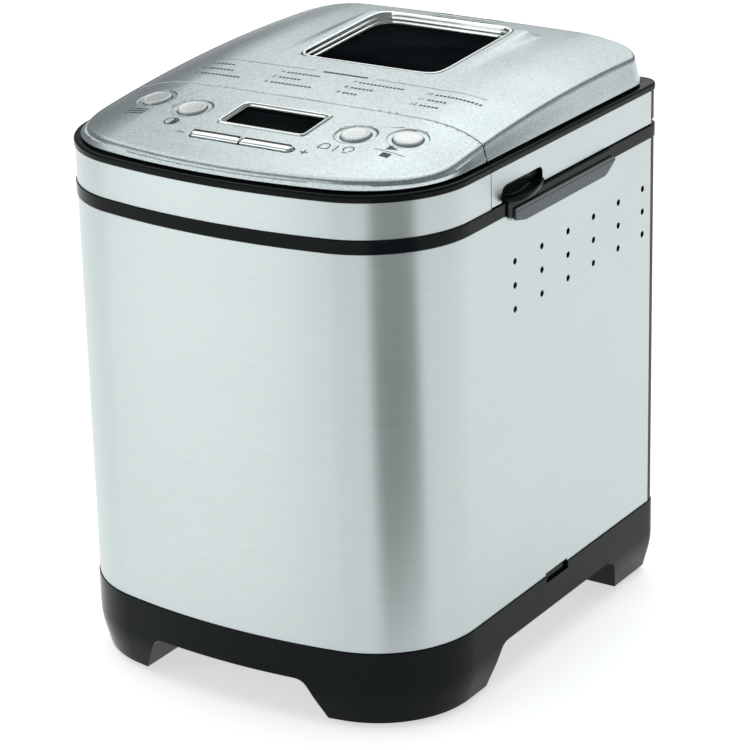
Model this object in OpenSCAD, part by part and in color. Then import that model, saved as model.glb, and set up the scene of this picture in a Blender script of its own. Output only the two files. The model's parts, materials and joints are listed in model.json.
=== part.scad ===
// Bread machine: a brushed steel case on a black base, with a sloping control
// panel, a hinged lid with a window, and the whole kneading drive inside.
// Millimetres. +Z is up, the control panel faces -Y, the origin is on the
// ground under the middle of the case.

/* [Case] */
// Width of the case
body_w = 256; // [215:1:310]
// Depth of the case
body_d = 296; // [290:1:360]
// Radius of the bowed front
front_arc_r = 400; // [300:5:600]
// Radius of the two front corners
front_corner_r = 65; // [50:1:75]
// Radius of the two rear corners
rear_corner_r = 12; // [6:1:16]
// Thickness of the steel sheet
sheet = 0.8; // [0.6:0.1:1.2]
// How far the steel lies behind the plastic edges
steel_inset = 0.7; // [0.4:0.1:1]
// Wall of the plastic mouldings
plastic_wall = 2.2; // [1.8:0.1:3]

/* [Heights] */
// Height of the black base
base_h = 49.5; // [45:0.5:60]
// Height of the steel wrap
wrap_h = 238.8; // [230:0.1:290]
// Height of the lower black rim
rim_h = 8.2; // [7:0.1:11]
// Height of the steel band around the lid and panel
band_h = 21.1; // [21:0.1:26]
// Height of the upper black ring
ring_h = 4.2; // [3:0.1:6]

/* [Base] */
// Height of the arches between the feet
arch_h = 27.5; // [22:0.5:30]
// Half width of the front arch at its roof
front_arch_half = 52.5; // [40:0.5:60]
// Half length of the side arch at its roof
side_arch_half = 67; // [50:0.5:75]
// Middle of the side arch behind the middle of the case
side_arch_y = 21; // [0:1:30]
// How far each end of an arch slopes
arch_slope = 14; // [8:1:18]
// Thickness of the base floor
floor_t = 3.5; // [3:0.1:5]
// How far the feet draw in at the ground
foot_draw = 5; // [2:0.5:8]
// Radius of the rubber feet
foot_r = 9; // [7:0.5:11]

/* [Top cover] */
// Rise of the cover's crown above the black ring
dome_rise = 26.6; // [26:0.1:32]
// Radius of the crown along the depth
dome_r = 1306; // [1000:1:1600]
// Wall of the covers
cover_wall = 2; // [1.6:0.1:2.6]
// How far the cover steps in from the case
cover_step = 4; // [3:0.5:6]
// Radius of the cover's rear corners, measured at the case's outline
cover_corner_r = 26; // [20:1:28]
// Depth of the fixed control panel at the sides
panel_d = 94; // [94:1:104]
// Gap between the lid and the fixed panel
lid_gap = 0.6; // [0.5:0.1:1]
// Half width of the lid window
window_half = 47; // [40:1:50]
// Length of the lid window
window_len = 89; // [80:1:95]

/* [Controls] */
// Radius of the round buttons
button_r = 8.5; // [7:0.1:9]
// Clearance around each button
button_clear = 0.4; // [0.3:0.05:0.6]
// Travel of a button
button_travel = 1.2; // [0.8:0.1:1.4]
// Half width of the display opening
lcd_half = 28.5; // [24:0.5:30]
// Length of the display opening
lcd_len = 28.5; // [22:0.5:29]
// Length of one bar button
bar_len = 33.8; // [28:0.1:36]
// Width of a bar button
bar_w = 6.4; // [5:0.1:8]

/* [Oven and pan] */
// Inside width of the oven chamber
chamber_w = 172; // [172:1:180]
// Inside depth of the oven chamber
chamber_d = 162; // [162:1:166]
// Width of the bread pan
pan_w = 136; // [120:1:138]
// Depth of the bread pan
pan_d = 128; // [112:1:130]
// Height of the bread pan
pan_h = 142; // [110:1:146]
// Wall of the bread pan
pan_wall = 1.5; // [1.2:0.1:2]
// Twist that frees the pan from its socket, in degrees
pan_twist = 12; // [8:1:12]
// Radius of the bail handle's wire
bail_wire_r = 2; // [1.5:0.1:2.2]
// Length of the kneading paddle's blade
paddle_len = 45; // [30:1:50]

/* [Drive] */
// Radius of the drive shaft
shaft_r = 4; // [3:0.5:5]
// Running clearance of a shaft in its bearing
run_clear = 0.05; // [0.02:0.01:0.1]
// Radius of the large pulley's belt seat
big_pulley_r = 45; // [35:1:50]
// Radius of the motor pulley's belt seat
small_pulley_r = 9; // [7:0.5:12]
// Radius of the motor
motor_r = 32; // [26:1:34]
// Height of the motor
motor_h = 60; // [45:1:70]
// Radius of the hinge pins
hinge_pin_r = 1.5; // [1.2:0.1:1.8]

/* [Hidden] */
$fn = 48;
eps = 0.1;

// Levels, from the ground up
z_wrap = base_h;
z_rim = z_wrap + wrap_h;
z_band = z_rim + rim_h;
z_ring = z_band + band_h;
z_cover = z_ring + ring_h;
z_floor = arch_h + floor_t;
lid_lift = 0.6;
z_lid = z_band + lid_lift;
dome_top = z_cover + dome_rise;

// Stations along the depth
y_front = -body_d / 2;
y_rear = body_d / 2;
seam_side_y = y_front + panel_d;
seam_top_y = seam_side_y + 8;
seam_x0 = body_w / 2 - 26;
seam_x1 = body_w / 2 - 12;
dome_y = y_rear - 58;
wrap_end_y = y_rear - 13;
far = body_w / 2 + 30;

// Plan outline of the case
corner_x = body_w / 2 - front_corner_r;
arc_y = y_front + front_arc_r;
corner_y = arc_y - sqrt(pow(front_arc_r - front_corner_r, 2) - pow(corner_x, 2));
corner_angle = atan(corner_x / (arc_y - corner_y));

// Oven, pan and drive stations
rear_space = 14;
chamber_y = y_rear - rear_space - chamber_d / 2;
chamber_r = 24;
liner_t = 1;
z_chassis = z_wrap + 0.5;
chassis_t = 1.6;
bearing_h = 33.4;
z_chamber = z_chassis + chassis_t + bearing_h;
z_oven = z_chamber + liner_t;
pan_lift = 18;
z_pan = z_oven + pan_lift;
z_pan_top = z_pan + pan_h;
pan_r = 32;
pan_lip = 4;
bail_y = pan_d / 2 + pan_lip + bail_wire_r + 1;
bail_x = pan_w / 2 + pan_lip + bail_wire_r + 1;
bail_r = 40;
z_bail = z_pan_top - 6;
motor_y = y_front + 63;
pulley_t = 10;
z_pulley = z_floor + 4;
belt_t = 3;
belt_gap = 0.3;
flange_h = 1.4;
motor_shaft_r = 3;

// Lid pieces
seal_w = 3;
seal_gap = 1;
dish_in = 3;
dish_h = 16;
plate_t = 1;
flange_t = 2;
z_plate = z_lid + flange_t;
z_dish = z_plate + plate_t + dish_h;
window_y = y_rear - 84.5;
plateau_rise = 4.3;
z_plateau = dome_top + plateau_rise;
plateau_y0 = window_y - window_len / 2 - 24;
plateau_y1 = window_y + window_len / 2 + 10;
plateau_z0 = dome_z(plateau_y0) - 0.3;
window_tilt = atan((z_plateau - plateau_z0) / (plateau_y1 - 6 - plateau_y0));
frame_w = 3;
glass_t = 3;
glass_drop = 7;
hinge_x = 70;
hinge_y = y_rear - 4.5;
hinge_z = z_band + 5.5;
knuckle_r = 3.8;
leaf_w = 14.8;
bracket_w = 30;
notch_w = 34;

// Control panel stations
panel_y = y_front + 58;
panel_tilt = asin((dome_y - panel_y) / dome_r);
button_spots = [[-86, 16], [-56, 9], [56, 9], [86, 16]];
lcd_y = 11.9;
bar_y = -22;
bar_middle_gap = 1.4;
board_drop = 14;
board_t = 1.6;
board_half = body_w / 2 - 30;
board_front = -27;
board_rear = 30;
switch_h = 4;
switch_well = button_travel + 0.8;
stem_r = 1.6;
dish_r = 12.5;
dish_depth = 0.9;

black = "#16181a";
steel = "#c9cfcf";
dark_steel = "#8d9494";

function dome_z(y) = dome_top - dome_r + sqrt(dome_r * dome_r - pow(y - dome_y, 2));

function arc(cx, cy, r, a0, a1, n) = [
  for (i = [0 : n]) [cx + r * cos(a0 + (a1 - a0) * i / n), cy + r * sin(a0 + (a1 - a0) * i / n)]
];

// Closed plan outline, drawn inset by a distance, with given rear corners
function outline(ins, rear = rear_corner_r) = let (
  rr = max(rear - ins, 1),
  rx = body_w / 2 - ins - rr,
  ry = y_rear - ins - rr
) concat(
  arc(0, arc_y, front_arc_r - ins, -90 - corner_angle * 0.75, -90 + corner_angle * 0.75, 6),
  arc(corner_x, corner_y, front_corner_r - ins, -90 + corner_angle, 0, 10),
  arc(rx, ry, rr, 0, 90, 4),
  arc(-rx, ry, rr, 90, 180, 4),
  arc(-corner_x, corner_y, front_corner_r - ins, 180, 270 - corner_angle, 10)
);

// Rounded rectangle with half sizes a and b
function round_rect(a, b, r) = concat(
  arc(a - r, -b + r, r, -90, 0, 8),
  arc(a - r, b - r, r, 0, 90, 8),
  arc(-a + r, b - r, r, 90, 180, 8),
  arc(-a + r, -b + r, r, 180, 270, 8)
);

module prism(z0, z1, ins, rear = rear_corner_r) {
  translate([0, 0, z0]) linear_extrude(z1 - z0) polygon(outline(ins, rear));
}

module shell(z0, z1, ins, t) {
  difference() {
    prism(z0, z1, ins);
    prism(z0 - eps, z1 + eps, ins + t);
  }
}

module pillow(z0, z1, a, b, r) {
  translate([0, 0, z0]) linear_extrude(z1 - z0) polygon(round_rect(a, b, r));
}

module rod_x(x0, x1, r) {
  translate([x0, 0, 0]) rotate([0, 90, 0]) cylinder(r = r, h = x1 - x0);
}

module both_sides() {
  children();
  mirror([1, 0, 0]) children();
}

// Everything in front of the seam between the fixed panel and the lid
module panel_region(z0, z1, back) {
  translate([0, 0, z0]) linear_extrude(z1 - z0) polygon([
    [-far, y_front - 10], [far, y_front - 10], [far, seam_side_y - back],
    [seam_x1, seam_side_y - back], [seam_x0, seam_top_y - back],
    [-seam_x0, seam_top_y - back], [-seam_x1, seam_side_y - back], [-far, seam_side_y - back]
  ]);
}

// Everything behind that seam
module lid_region(z0, z1, back) {
  translate([0, 0, z0]) linear_extrude(z1 - z0) polygon([
    [-far, seam_side_y + back], [-seam_x1, seam_side_y + back], [-seam_x0, seam_top_y + back],
    [seam_x0, seam_top_y + back], [seam_x1, seam_side_y + back], [far, seam_side_y + back],
    [far, y_rear + 10], [-far, y_rear + 10]
  ]);
}

module rear_region(z0, z1, y0) {
  translate([-far, y0, z0]) cube([2 * far, y_rear + 10 - y0, z1 - z0]);
}

// Solid under the crowned top, lowered and inset for its inside
module crown(ins, drop) {
  shoulder_x = body_w / 2 - 36;
  intersection() {
    prism(z_cover - eps * (drop > 0 ? 1 : 0), dome_top + 1, cover_step + ins, cover_corner_r);
    translate([0, dome_y, dome_top - drop - dome_r])
      rotate([0, 90, 0]) cylinder(r = dome_r, h = 2 * far, center = true, $fn = 720);
    both_sides() shoulder_cut(shoulder_x, drop);
  }
}

// Half of the space under a shoulder that falls away to the side
module shoulder_cut(x0, drop) {
  fall = 0.3;
  rotate([90, 0, 0]) translate([0, 0, -y_rear - 10]) linear_extrude(body_d + 20)
    polygon([
      [-eps, 0], [-eps, dome_top + 5], [x0 - 11, dome_top + 5 - drop],
      [x0 - 11, dome_top - 0.4 - drop], [far, dome_top - 0.4 - drop - fall * (far - x0 + 11)], [far, 0]
    ]);
}

// ---- base -------------------------------------------------------------

module base_legs() {
  draw_z = 20;
  x1 = body_w / 2;
  rotate([90, 0, 0]) translate([0, 0, -far - 40]) linear_extrude(2 * far + 80)
    polygon([[-x1 + foot_draw, 0], [x1 - foot_draw, 0], [x1, draw_z], [x1, base_h + 1],
             [-x1, base_h + 1], [-x1, draw_z]]);
}

module base_ends() {
  draw_z = 20;
  y1 = body_d / 2;
  rotate([90, 0, 90]) translate([0, 0, -far]) linear_extrude(2 * far)
    polygon([[-y1 + foot_draw, 0], [y1 - foot_draw, 0], [y1, draw_z], [y1, base_h + 1],
             [-y1, base_h + 1], [-y1, draw_z]]);
}

leg_x = body_w / 2 - 34;
leg_front_y = y_front + 46;
leg_rear_y = y_rear - 28;
service = [132, 120];
screw_spots = [for (sx = [-1, 1], sy = [-1, 0, 1]) [sx * service[0] / 2, side_arch_y + sy * 52]];

module front_arch() {
  a = front_arch_half;
  rotate([90, 0, 0]) translate([0, 0, -y_rear - 10]) linear_extrude(body_d + 20)
    polygon([[-a - arch_slope, -1], [a + arch_slope, -1], [a, arch_h], [-a, arch_h]]);
}

module side_arch() {
  a = side_arch_half;
  rotate([90, 0, 90]) translate([0, 0, -far]) linear_extrude(2 * far)
    polygon([[side_arch_y - a - arch_slope, -1], [side_arch_y + a + arch_slope, -1],
             [side_arch_y + a, arch_h], [side_arch_y - a, arch_h]]);
}

foot_pad_h = 3;
clip_y = 18.5;
clip_w = 26;
case_screw_r = 1.5;
cover_plate_t = 2;

module base() {
  wall = 2.6;
  pocket = [40, 44];
  color(black) difference() {
    intersection() {
      prism(foot_pad_h, base_h, 0);
      base_legs();
      base_ends();
    }
    prism(z_floor, base_h + 1, wall);
    front_arch();
    side_arch();
    // hollow legs, open upwards
    both_sides() {
      translate([leg_x - pocket[0] / 2 - 4, leg_front_y - pocket[1] / 2 + 2, 9])
        cube([pocket[0], pocket[1], 60]);
      translate([leg_x - pocket[0] / 2 - 4, leg_rear_y - 10, 9]) cube([pocket[0], 20, 60]);
      // recess of the wrap's clip
      translate([body_w / 2 - 1.6, clip_y - clip_w / 2, base_h - 4.5]) cube([3, clip_w, 6]);
    }
    // service opening in the floor
    translate([-service[0] / 2 + 12, side_arch_y - service[1] / 2 + 10, arch_h - 1])
      cube([service[0] - 24, service[1] - 20, 10]);
    for (p = screw_spots) translate([p[0], p[1], arch_h - 1])
      cylinder(r = case_screw_r, h = 10, $fn = 24);
  }
}

module bottom_cover() {
  slot = [3, 40];
  color(dark_steel) difference() {
    translate([-service[0] / 2 - 6, side_arch_y - service[1] / 2, arch_h - cover_plate_t])
      cube([service[0] + 12, service[1], cover_plate_t]);
    for (x = [-4 : 4])
      translate([x * 10 - slot[0] / 2, side_arch_y - slot[1] / 2, arch_h - 5])
        cube([slot[0], slot[1], 8]);
    for (p = screw_spots) translate([p[0], p[1], arch_h - 5])
      cylinder(r = case_screw_r, h = 10, $fn = 24);
  }
}

module rubber_feet() {
  color("#222426") both_sides() for (y = [leg_front_y, leg_rear_y + 6])
    translate([leg_x, y, 0]) cylinder(r = foot_r, h = foot_pad_h);
}

rear_screw_spots = [for (sx = [-1, 1], z = [z_wrap + 14, z_rim - 14]) [sx * (body_w / 2 - 22), z]];

module case_screw() {
  color(dark_steel) {
    cylinder(r = 2.8, h = 1.4, $fn = 24);
    translate([0, 0, -7]) cylinder(r = case_screw_r, h = 7, $fn = 24);
  }
}

module case_screws() {
  for (p = screw_spots) translate([p[0], p[1], arch_h - cover_plate_t])
    rotate([180, 0, 0]) case_screw();
  for (p = rear_screw_spots) translate([p[0], y_rear - steel_inset - 1, p[1]])
    rotate([-90, 0, 0]) case_screw();
}

// ---- case -------------------------------------------------------------

vent_pitch_y = 30.6;
vent_pitch_z = 14.4;
vent_r = 2;

module side_vents() {
  for (i = [0 : 5], j = [0 : 2])
    translate([0, y_rear - 176.3 + vent_pitch_y * i, z_rim - 29.6 - vent_pitch_z * j])
      both_sides() rod_x(body_w / 2 - 8, body_w / 2 + 2, vent_r);
}

module body_wrap() {
  color(steel) difference() {
    shell(z_wrap, z_rim, steel_inset, sheet);
    rear_region(z_wrap - 1, z_rim + 1, wrap_end_y);
    side_vents();
    both_sides() translate([body_w / 2 - 6, clip_y - clip_w / 2, z_wrap - 1]) cube([8, clip_w, 2.8]);
  }
}

module rear_panel() {
  slot_h = 3;
  color(black) difference() {
    shell(z_wrap, z_rim, steel_inset, plastic_wall);
    translate([-far, y_front - 10, z_wrap - 1]) cube([2 * far, body_d + 10 - 12.8, wrap_h + 2]);
    for (i = [0 : 7]) translate([-50, y_rear - 8, z_wrap + 30 + i * 9]) cube([100, 12, slot_h]);
    for (p = rear_screw_spots) translate([p[0], y_rear - 10, p[1]]) rotate([-90, 0, 0]) {
      cylinder(r = case_screw_r, h = 20, $fn = 24);
      translate([0, 0, 10 - steel_inset - 1]) cylinder(r = 3.2, h = 20, $fn = 24);
    }
    translate([gland_x, y_rear - 10, gland_z]) rotate([-90, 0, 0]) cylinder(r = gland_r, h = 20);
  }
}

module wrap_clips() {
  color(dark_steel) both_sides() difference() {
    translate([body_w / 2 - 6, clip_y - clip_w / 2 + 3, z_wrap - 3]) cube([3.3, clip_w - 6, 12]);
    translate([body_w / 2 - 4, clip_y - clip_w / 2, z_wrap - 5]) cube([3, clip_w, 6.8]);
    translate([body_w / 2 - steel_inset - sheet - 0.05, clip_y - clip_w / 2, z_wrap - 5])
      cube([6, clip_w, 20]);
    translate([body_w / 2 - 8, clip_y - clip_w / 2, z_wrap - 5]) cube([6, clip_w, 5]);
  }
}

grip_y0 = seam_side_y + 15.5;
grip_len = 123;
grip_drop = 6.6;
grip_out = 2.6;

module rim_frame() {
  deck = 3;
  color(black) difference() {
    union() {
      prism(z_band - deck, z_band, 0);
      shell(z_rim, z_band - deck, 0, 3.4);
    }
    translate([0, chamber_y, 0]) {
      pillow(z_rim - 1, z_band + 1, chamber_w / 2 + liner_t, chamber_d / 2 + liner_t,
        chamber_r + liner_t);
      pillow(z_band - liner_t, z_band + 1, chamber_w / 2 + 5, chamber_d / 2 + 4, chamber_r + 4);
    }
    // wiring passage under the fixed panel
    translate([-60, y_front + 30, z_rim - 1]) cube([120, 50, 12]);
  }
}

// Finger grip on the side of the rim, chamfered at both ends
module grip(side) {
  y0 = grip_y0;
  y1 = grip_y0 + grip_len;
  z0 = z_rim - grip_drop;
  color("#33383a") scale([side, 1, 1]) difference() {
    rotate([90, 0, 90]) translate([0, 0, body_w / 2 - steel_inset])
      linear_extrude(steel_inset + grip_out)
      polygon([[y0, z_rim], [y0 + 18.5, z0], [y1 - 11.5, z0], [y1, z_rim], [y1, z_band - 2.8],
               [y1 - 4, z_band - 0.4], [y0, z_band - 0.4]]);
    translate([body_w / 2 - 5, y0 - 10, z_rim]) cube([5, grip_len + 20, 12]);
  }
}

module grip_left() {
  mirror([1, 0, 0]) grip(1);
}

module grip_right() {
  grip(1);
}

// ---- drive and oven ---------------------------------------------------

module chassis_plate() {
  color(dark_steel) difference() {
    prism(z_chassis, z_chassis + chassis_t, 8);
    translate([0, chamber_y, z_chassis - 1]) cylinder(r = bush_r + 2, h = 4);
    translate([0, motor_y, z_chassis - 1]) cylinder(r = motor_shaft_r + 5, h = 4);
    both_sides() translate([50, motor_y + 40, z_chassis - 1]) cube([36, 8, 4]);
  }
  color(dark_steel) both_sides() for (y = [leg_front_y + 32, leg_rear_y - 22])
    translate([leg_x, y, z_floor]) cylinder(r = 5, h = z_chassis - z_floor);
}

module chamber_liner() {
  a = chamber_w / 2;
  b = chamber_d / 2;
  color("#a9afaf") translate([0, chamber_y, 0]) difference() {
    union() {
      pillow(z_chamber, z_band, a + liner_t, b + liner_t, chamber_r + liner_t);
      pillow(z_band - liner_t, z_band, a + 5, b + 4, chamber_r + 4);
    }
    pillow(z_oven, z_band + 1, a, b, chamber_r);
    translate([0, 0, z_chamber - 1]) cylinder(r = bush_r + 1, h = 4);
    for (x = [-1, 1]) translate([x * terminal_x, -b - 3, z_element]) rotate([-90, 0, 0])
      cylinder(r = element_r + 0.8, h = 6);
    translate([0, 0, sensor_z]) rod_x(-a - 3, -a + 3, sensor_r + 0.4);
  }
}

element_r = 3.2;
z_element = z_oven + 9.5;
element_a = chamber_w / 2 - 9;
element_b = chamber_d / 2 - 8.5;
element_corner = 30;
terminal_x = 12;
sensor_r = 2.6;
sensor_z = z_oven + 64;

module element_corner_piece() {
  translate([element_a - element_corner, element_b - element_corner, 0])
    rotate_extrude(angle = 90) translate([element_corner, 0]) circle(r = element_r);
}

module heating_element() {
  color("#5d5450") translate([0, chamber_y, z_element]) {
    for (mx = [0, 1], my = [0, 1]) mirror([mx, 0, 0]) mirror([0, my, 0]) element_corner_piece();
    for (s = [-1, 1]) {
      translate([s * element_a, 0, 0]) rotate([90, 0, 0])
        cylinder(r = element_r, h = 2 * (element_b - element_corner), center = true);
      translate([0, s * element_b, 0]) rotate([0, 90, 0])
        cylinder(r = element_r, h = 2 * (element_a - element_corner), center = true);
      translate([s * terminal_x, -element_b - 20, 0]) rotate([-90, 0, 0])
        cylinder(r = element_r - 0.4, h = 20);
    }
  }
}

module element_clips() {
  color(dark_steel) translate([0, chamber_y, 0]) both_sides() for (y = [-30, 30]) difference() {
    translate([element_a - 5, y - 4, z_oven]) cube([10, 8, z_element - z_oven]);
    translate([element_a, y + 10, z_element]) rotate([90, 0, 0]) cylinder(r = element_r, h = 20);
  }
}

module temp_sensor() {
  color("#c8b27a") translate([0, chamber_y, sensor_z]) {
    rod_x(-chamber_w / 2 - 14, -chamber_w / 2 + 8, sensor_r);
    rod_x(-chamber_w / 2 - 4, -chamber_w / 2 - liner_t, 6);
  }
}

socket_in = 41.5;
socket_out = 47;
socket_h = 14;
lug_angle = 12;
lug_clear = 1;
lug_r = 44.5;
lug_z = 3;
lug_h = 4;
base_ring_r = 41;

module sector(r0, r1, z0, z1, a0, a1) {
  rotate([0, 0, a0]) rotate_extrude(angle = a1 - a0, $fn = 96)
    translate([r0, z0]) square([r1 - r0, z1 - z0]);
}

module pan_socket() {
  half = lug_angle / 2;
  color("#b4b9b9") translate([0, chamber_y, z_oven]) difference() {
    cylinder(r = socket_out, h = socket_h, $fn = 96);
    translate([0, 0, -1]) cylinder(r = socket_in, h = socket_h + 2, $fn = 96);
    for (k = [0 : 3]) rotate([0, 0, 45 + 90 * k]) {
      // the lug drops in behind the hook and turns under it
      sector(socket_in - 1, socket_out + 1, 2.2, lug_z + lug_h + 1, -half - lug_clear, half + 1);
      sector(socket_in - 1.5, socket_out + 1.5, 2, socket_h + 1, half, half + pan_twist + lug_clear);
    }
  }
}

bush_r = 9;
bush_h = 10;
housing_r = 14;

module bearing_housing() {
  z0 = z_chassis + chassis_t;
  color("#9aa0a0") translate([0, chamber_y, z0]) difference() {
    union() {
      cylinder(r = housing_r, h = bearing_h);
      cylinder(r = 28, h = 2.4);
    }
    translate([0, 0, -1]) cylinder(r = bush_r, h = bearing_h + 2);
  }
}

module bearing_bushes() {
  z0 = z_chassis + chassis_t;
  color("#b08d57") translate([0, chamber_y, z0]) for (z = [0, bearing_h - bush_h]) translate([0, 0, z])
    difference() {
      cylinder(r = bush_r, h = bush_h);
      translate([0, 0, -1]) cylinder(r = shaft_r + run_clear, h = bush_h + 2);
    }
}

z_dog = z_oven + 1.5;
dog_h = 8;
wing_w = 6;
wing_r = 16;
prong_in = 11;

module drive_shaft() {
  color(dark_steel) translate([0, chamber_y, z_pulley - 1])
    cylinder(r = shaft_r, h = z_dog + dog_h - z_pulley);
}

module drive_dog() {
  color("#7d8486") translate([0, chamber_y, z_dog]) difference() {
    union() {
      cylinder(r = prong_in - 2, h = dog_h);
      translate([-wing_r, -wing_w / 2, 3]) cube([2 * wing_r, wing_w, dog_h - 3]);
    }
    translate([0, 0, -1]) cylinder(r = shaft_r, h = dog_h + 2);
  }
}

module pulley(seat_r, bore_r) {
  difference() {
    union() {
      cylinder(r = seat_r, h = pulley_t, $fn = 96);
      cylinder(r = seat_r + belt_t + 1, h = flange_h, $fn = 96);
      translate([0, 0, pulley_t - flange_h]) cylinder(r = seat_r + belt_t + 1, h = flange_h, $fn = 96);
    }
    translate([0, 0, -1]) cylinder(r = bore_r, h = pulley_t + 2);
  }
}

module drive_pulley() {
  hole_r = big_pulley_r * 0.2;
  color("#2c3134") translate([0, chamber_y, z_pulley]) difference() {
    pulley(big_pulley_r, shaft_r);
    for (a = [0 : 60 : 300]) rotate([0, 0, a]) translate([big_pulley_r * 0.6, 0, -1])
      cylinder(r = hole_r, h = pulley_t + 2);
  }
}

// Belt outline round both pulleys, a distance g outside their seats
function belt_loop(g) = let (
  span = chamber_y - motor_y,
  lean = asin((big_pulley_r - small_pulley_r) / span)
) concat(
  arc(0, chamber_y, (big_pulley_r + g) / cos(4), -lean, 180 + lean, 24),
  arc(0, motor_y, (small_pulley_r + g) / cos(6), 180 + lean, 360 - lean, 14)
);

module drive_belt() {
  z0 = z_pulley + flange_h + belt_gap;
  h = pulley_t - 2 * flange_h - 2 * belt_gap;
  color("#1d1f20") translate([0, 0, z0]) linear_extrude(h) difference() {
    polygon(belt_loop(belt_gap + belt_t));
    polygon(belt_loop(belt_gap));
  }
}

module motor_can() {
  z0 = z_chassis + chassis_t;
  color("#8f9698") translate([0, motor_y, z0]) difference() {
    union() {
      cylinder(r = motor_r, h = motor_h);
      translate([-motor_r - 8, -10, 0]) cube([2 * motor_r + 16, 20, 3]);
      translate([0, 0, motor_h]) cylinder(r = 10, h = 4);
    }
    translate([0, 0, -1]) cylinder(r = motor_shaft_r + run_clear, h = 40);
    for (a = [0 : 45 : 315]) rotate([0, 0, a]) translate([motor_r - 10, 0, motor_h - 6])
      cylinder(r = 3, h = 7);
  }
}

module motor_shaft() {
  z1 = z_chassis + chassis_t + 38;
  color(dark_steel) translate([0, motor_y, z_pulley - 1])
    cylinder(r = motor_shaft_r, h = z1 - z_pulley + 1);
}

module motor_pulley() {
  color("#2c3134") translate([0, motor_y, z_pulley]) pulley(small_pulley_r, motor_shaft_r);
}

module motor_capacitor() {
  color("#dfe3e3") translate([64, motor_y + 2, z_chassis + chassis_t]) {
    cylinder(r = 15, h = 46);
    translate([0, 0, 46]) cylinder(r = 4, h = 5);
  }
}

module power_board() {
  x0 = body_w / 2 - 26;
  color("#2f6b46") translate([x0, chamber_y - 50, z_oven + 36]) {
    cube([1.6, 100, 86]);
    translate([1.6, 14, 16]) cube([15, 26, 24]);
    translate([1.6, 56, 12]) cube([11, 16, 20]);
    translate([1.6, 30, 58]) cube([9, 22, 12]);
    translate([-8, 30, 0]) cube([8, 12, 8]);
  }
}

gland_x = -body_w / 2 + 44;
gland_z = z_wrap + 20;
gland_r = 8;
gland_bore_r = 4;

module cord_gland() {
  color(black) translate([gland_x, y_rear, gland_z]) rotate([90, 0, 0]) difference() {
    union() {
      cylinder(r = gland_r + 3, h = steel_inset);
      cylinder(r = gland_r, h = 7);
    }
    translate([0, 0, -1]) cylinder(r = gland_bore_r, h = 10);
  }
}

// ---- fixed control panel ----------------------------------------------

module panel_place() {
  translate([0, panel_y, dome_z(panel_y)]) rotate([panel_tilt, 0, 0]) children();
}

module panel_band() {
  color(steel) intersection() {
    shell(z_band, z_ring, steel_inset, sheet);
    panel_region(z_band - 1, z_ring + 1, 0);
  }
}

module panel_frame() {
  band_in = steel_inset + sheet;
  color(black) difference() {
    intersection() {
      union() {
        prism(z_band, z_ring, band_in);
        prism(z_ring, z_cover, 0);
      }
      panel_region(z_band - 1, z_cover + 1, 0);
    }
    intersection() {
      prism(z_band - 1, z_ring - eps, band_in + plastic_wall);
      panel_region(z_band - 2, z_cover + 2, plastic_wall);
    }
    intersection() {
      prism(z_ring - 1, z_cover + 1, cover_step + cover_wall + 2);
      panel_region(z_band - 2, z_cover + 2, cover_wall + 2);
    }
  }
}

module button_holes(r, z0, z1) {
  for (p = button_spots) translate([p[0], p[1], z0]) cylinder(r = r, h = z1 - z0);
}

module bar_slot() {
  w = bar_len + bar_middle_gap / 2 + button_clear;
  translate([-w, bar_y - bar_w / 2 - button_clear, -10]) cube([2 * w, bar_w + 2 * button_clear, 20]);
}

module panel_cover() {
  color("#bfc6c6") difference() {
    intersection() {
      crown(0, 0);
      panel_region(z_cover - 1, dome_top + 5, 0);
    }
    intersection() {
      crown(cover_wall, cover_wall);
      panel_region(z_cover - 2, dome_top + 5, cover_wall);
    }
    panel_place() {
      button_holes(button_r + button_clear, -8, 8);
      button_holes(dish_r, -dish_depth, 8);
      bar_slot();
      translate([-lcd_half - 1.5, lcd_y - lcd_len / 2 - 1.5, -10])
        cube([2 * lcd_half + 3, lcd_len + 3, 20]);
    }
  }
}

bezel_drop = 6;

module lcd_bezel() {
  a = lcd_half + 1.5;
  b = lcd_len / 2 + 1.5;
  color("#e2e6e6") panel_place() translate([0, lcd_y, 0]) difference() {
    translate([-a, -b, -bezel_drop]) cube([2 * a, 2 * b, bezel_drop + 0.6]);
    translate([-lcd_half, -lcd_len / 2, -2]) cube([2 * lcd_half, lcd_len, 5]);
    translate([-lcd_half + 1.5, -lcd_len / 2 + 1.5, -4]) cube([2 * lcd_half - 3, lcd_len - 3, 5]);
    translate([-lcd_half + 3, -lcd_len / 2 + 3, -bezel_drop - 1])
      cube([2 * lcd_half - 6, lcd_len - 6, 8]);
  }
}

module lcd_lens() {
  color("#0b0d0e") panel_place()
    translate([-lcd_half + 3, lcd_y - lcd_len / 2 + 3, -bezel_drop])
      cube([2 * lcd_half - 6, lcd_len - 6, 1.2]);
}

module lcd_module() {
  color("#39424a") panel_place()
    translate([-lcd_half + 1, lcd_y - lcd_len / 2 + 1, -bezel_drop - 4])
      cube([2 * lcd_half - 2, lcd_len - 2, 4]);
}

module control_board() {
  color("#2f6b46") panel_place() difference() {
    translate([-board_half, board_front, -board_drop])
      cube([2 * board_half, board_rear - board_front, board_t]);
    for (x = [-1, 1]) translate([x * (board_half - 5), board_front + 5, -board_drop - 1])
      cylinder(r = 1.8, h = 4, $fn = 24);
  }
}

bar_stem_x = bar_len / 2;
switch_spots = concat(button_spots, [[-bar_stem_x, bar_y], [bar_stem_x, bar_y]]);
switch_top = -board_drop + board_t + switch_h;

module tact_switches() {
  color("#202325") panel_place() for (p = switch_spots) difference() {
    translate([p[0] - 3, p[1] - 3, -board_drop + board_t]) cube([6, 6, switch_h]);
    translate([p[0], p[1], switch_top - switch_well]) cylinder(r = stem_r + 0.3, h = 5, $fn = 24);
  }
}

cap_z0 = -cover_wall - 1.7;
cap_proud = 0.9;

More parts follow.
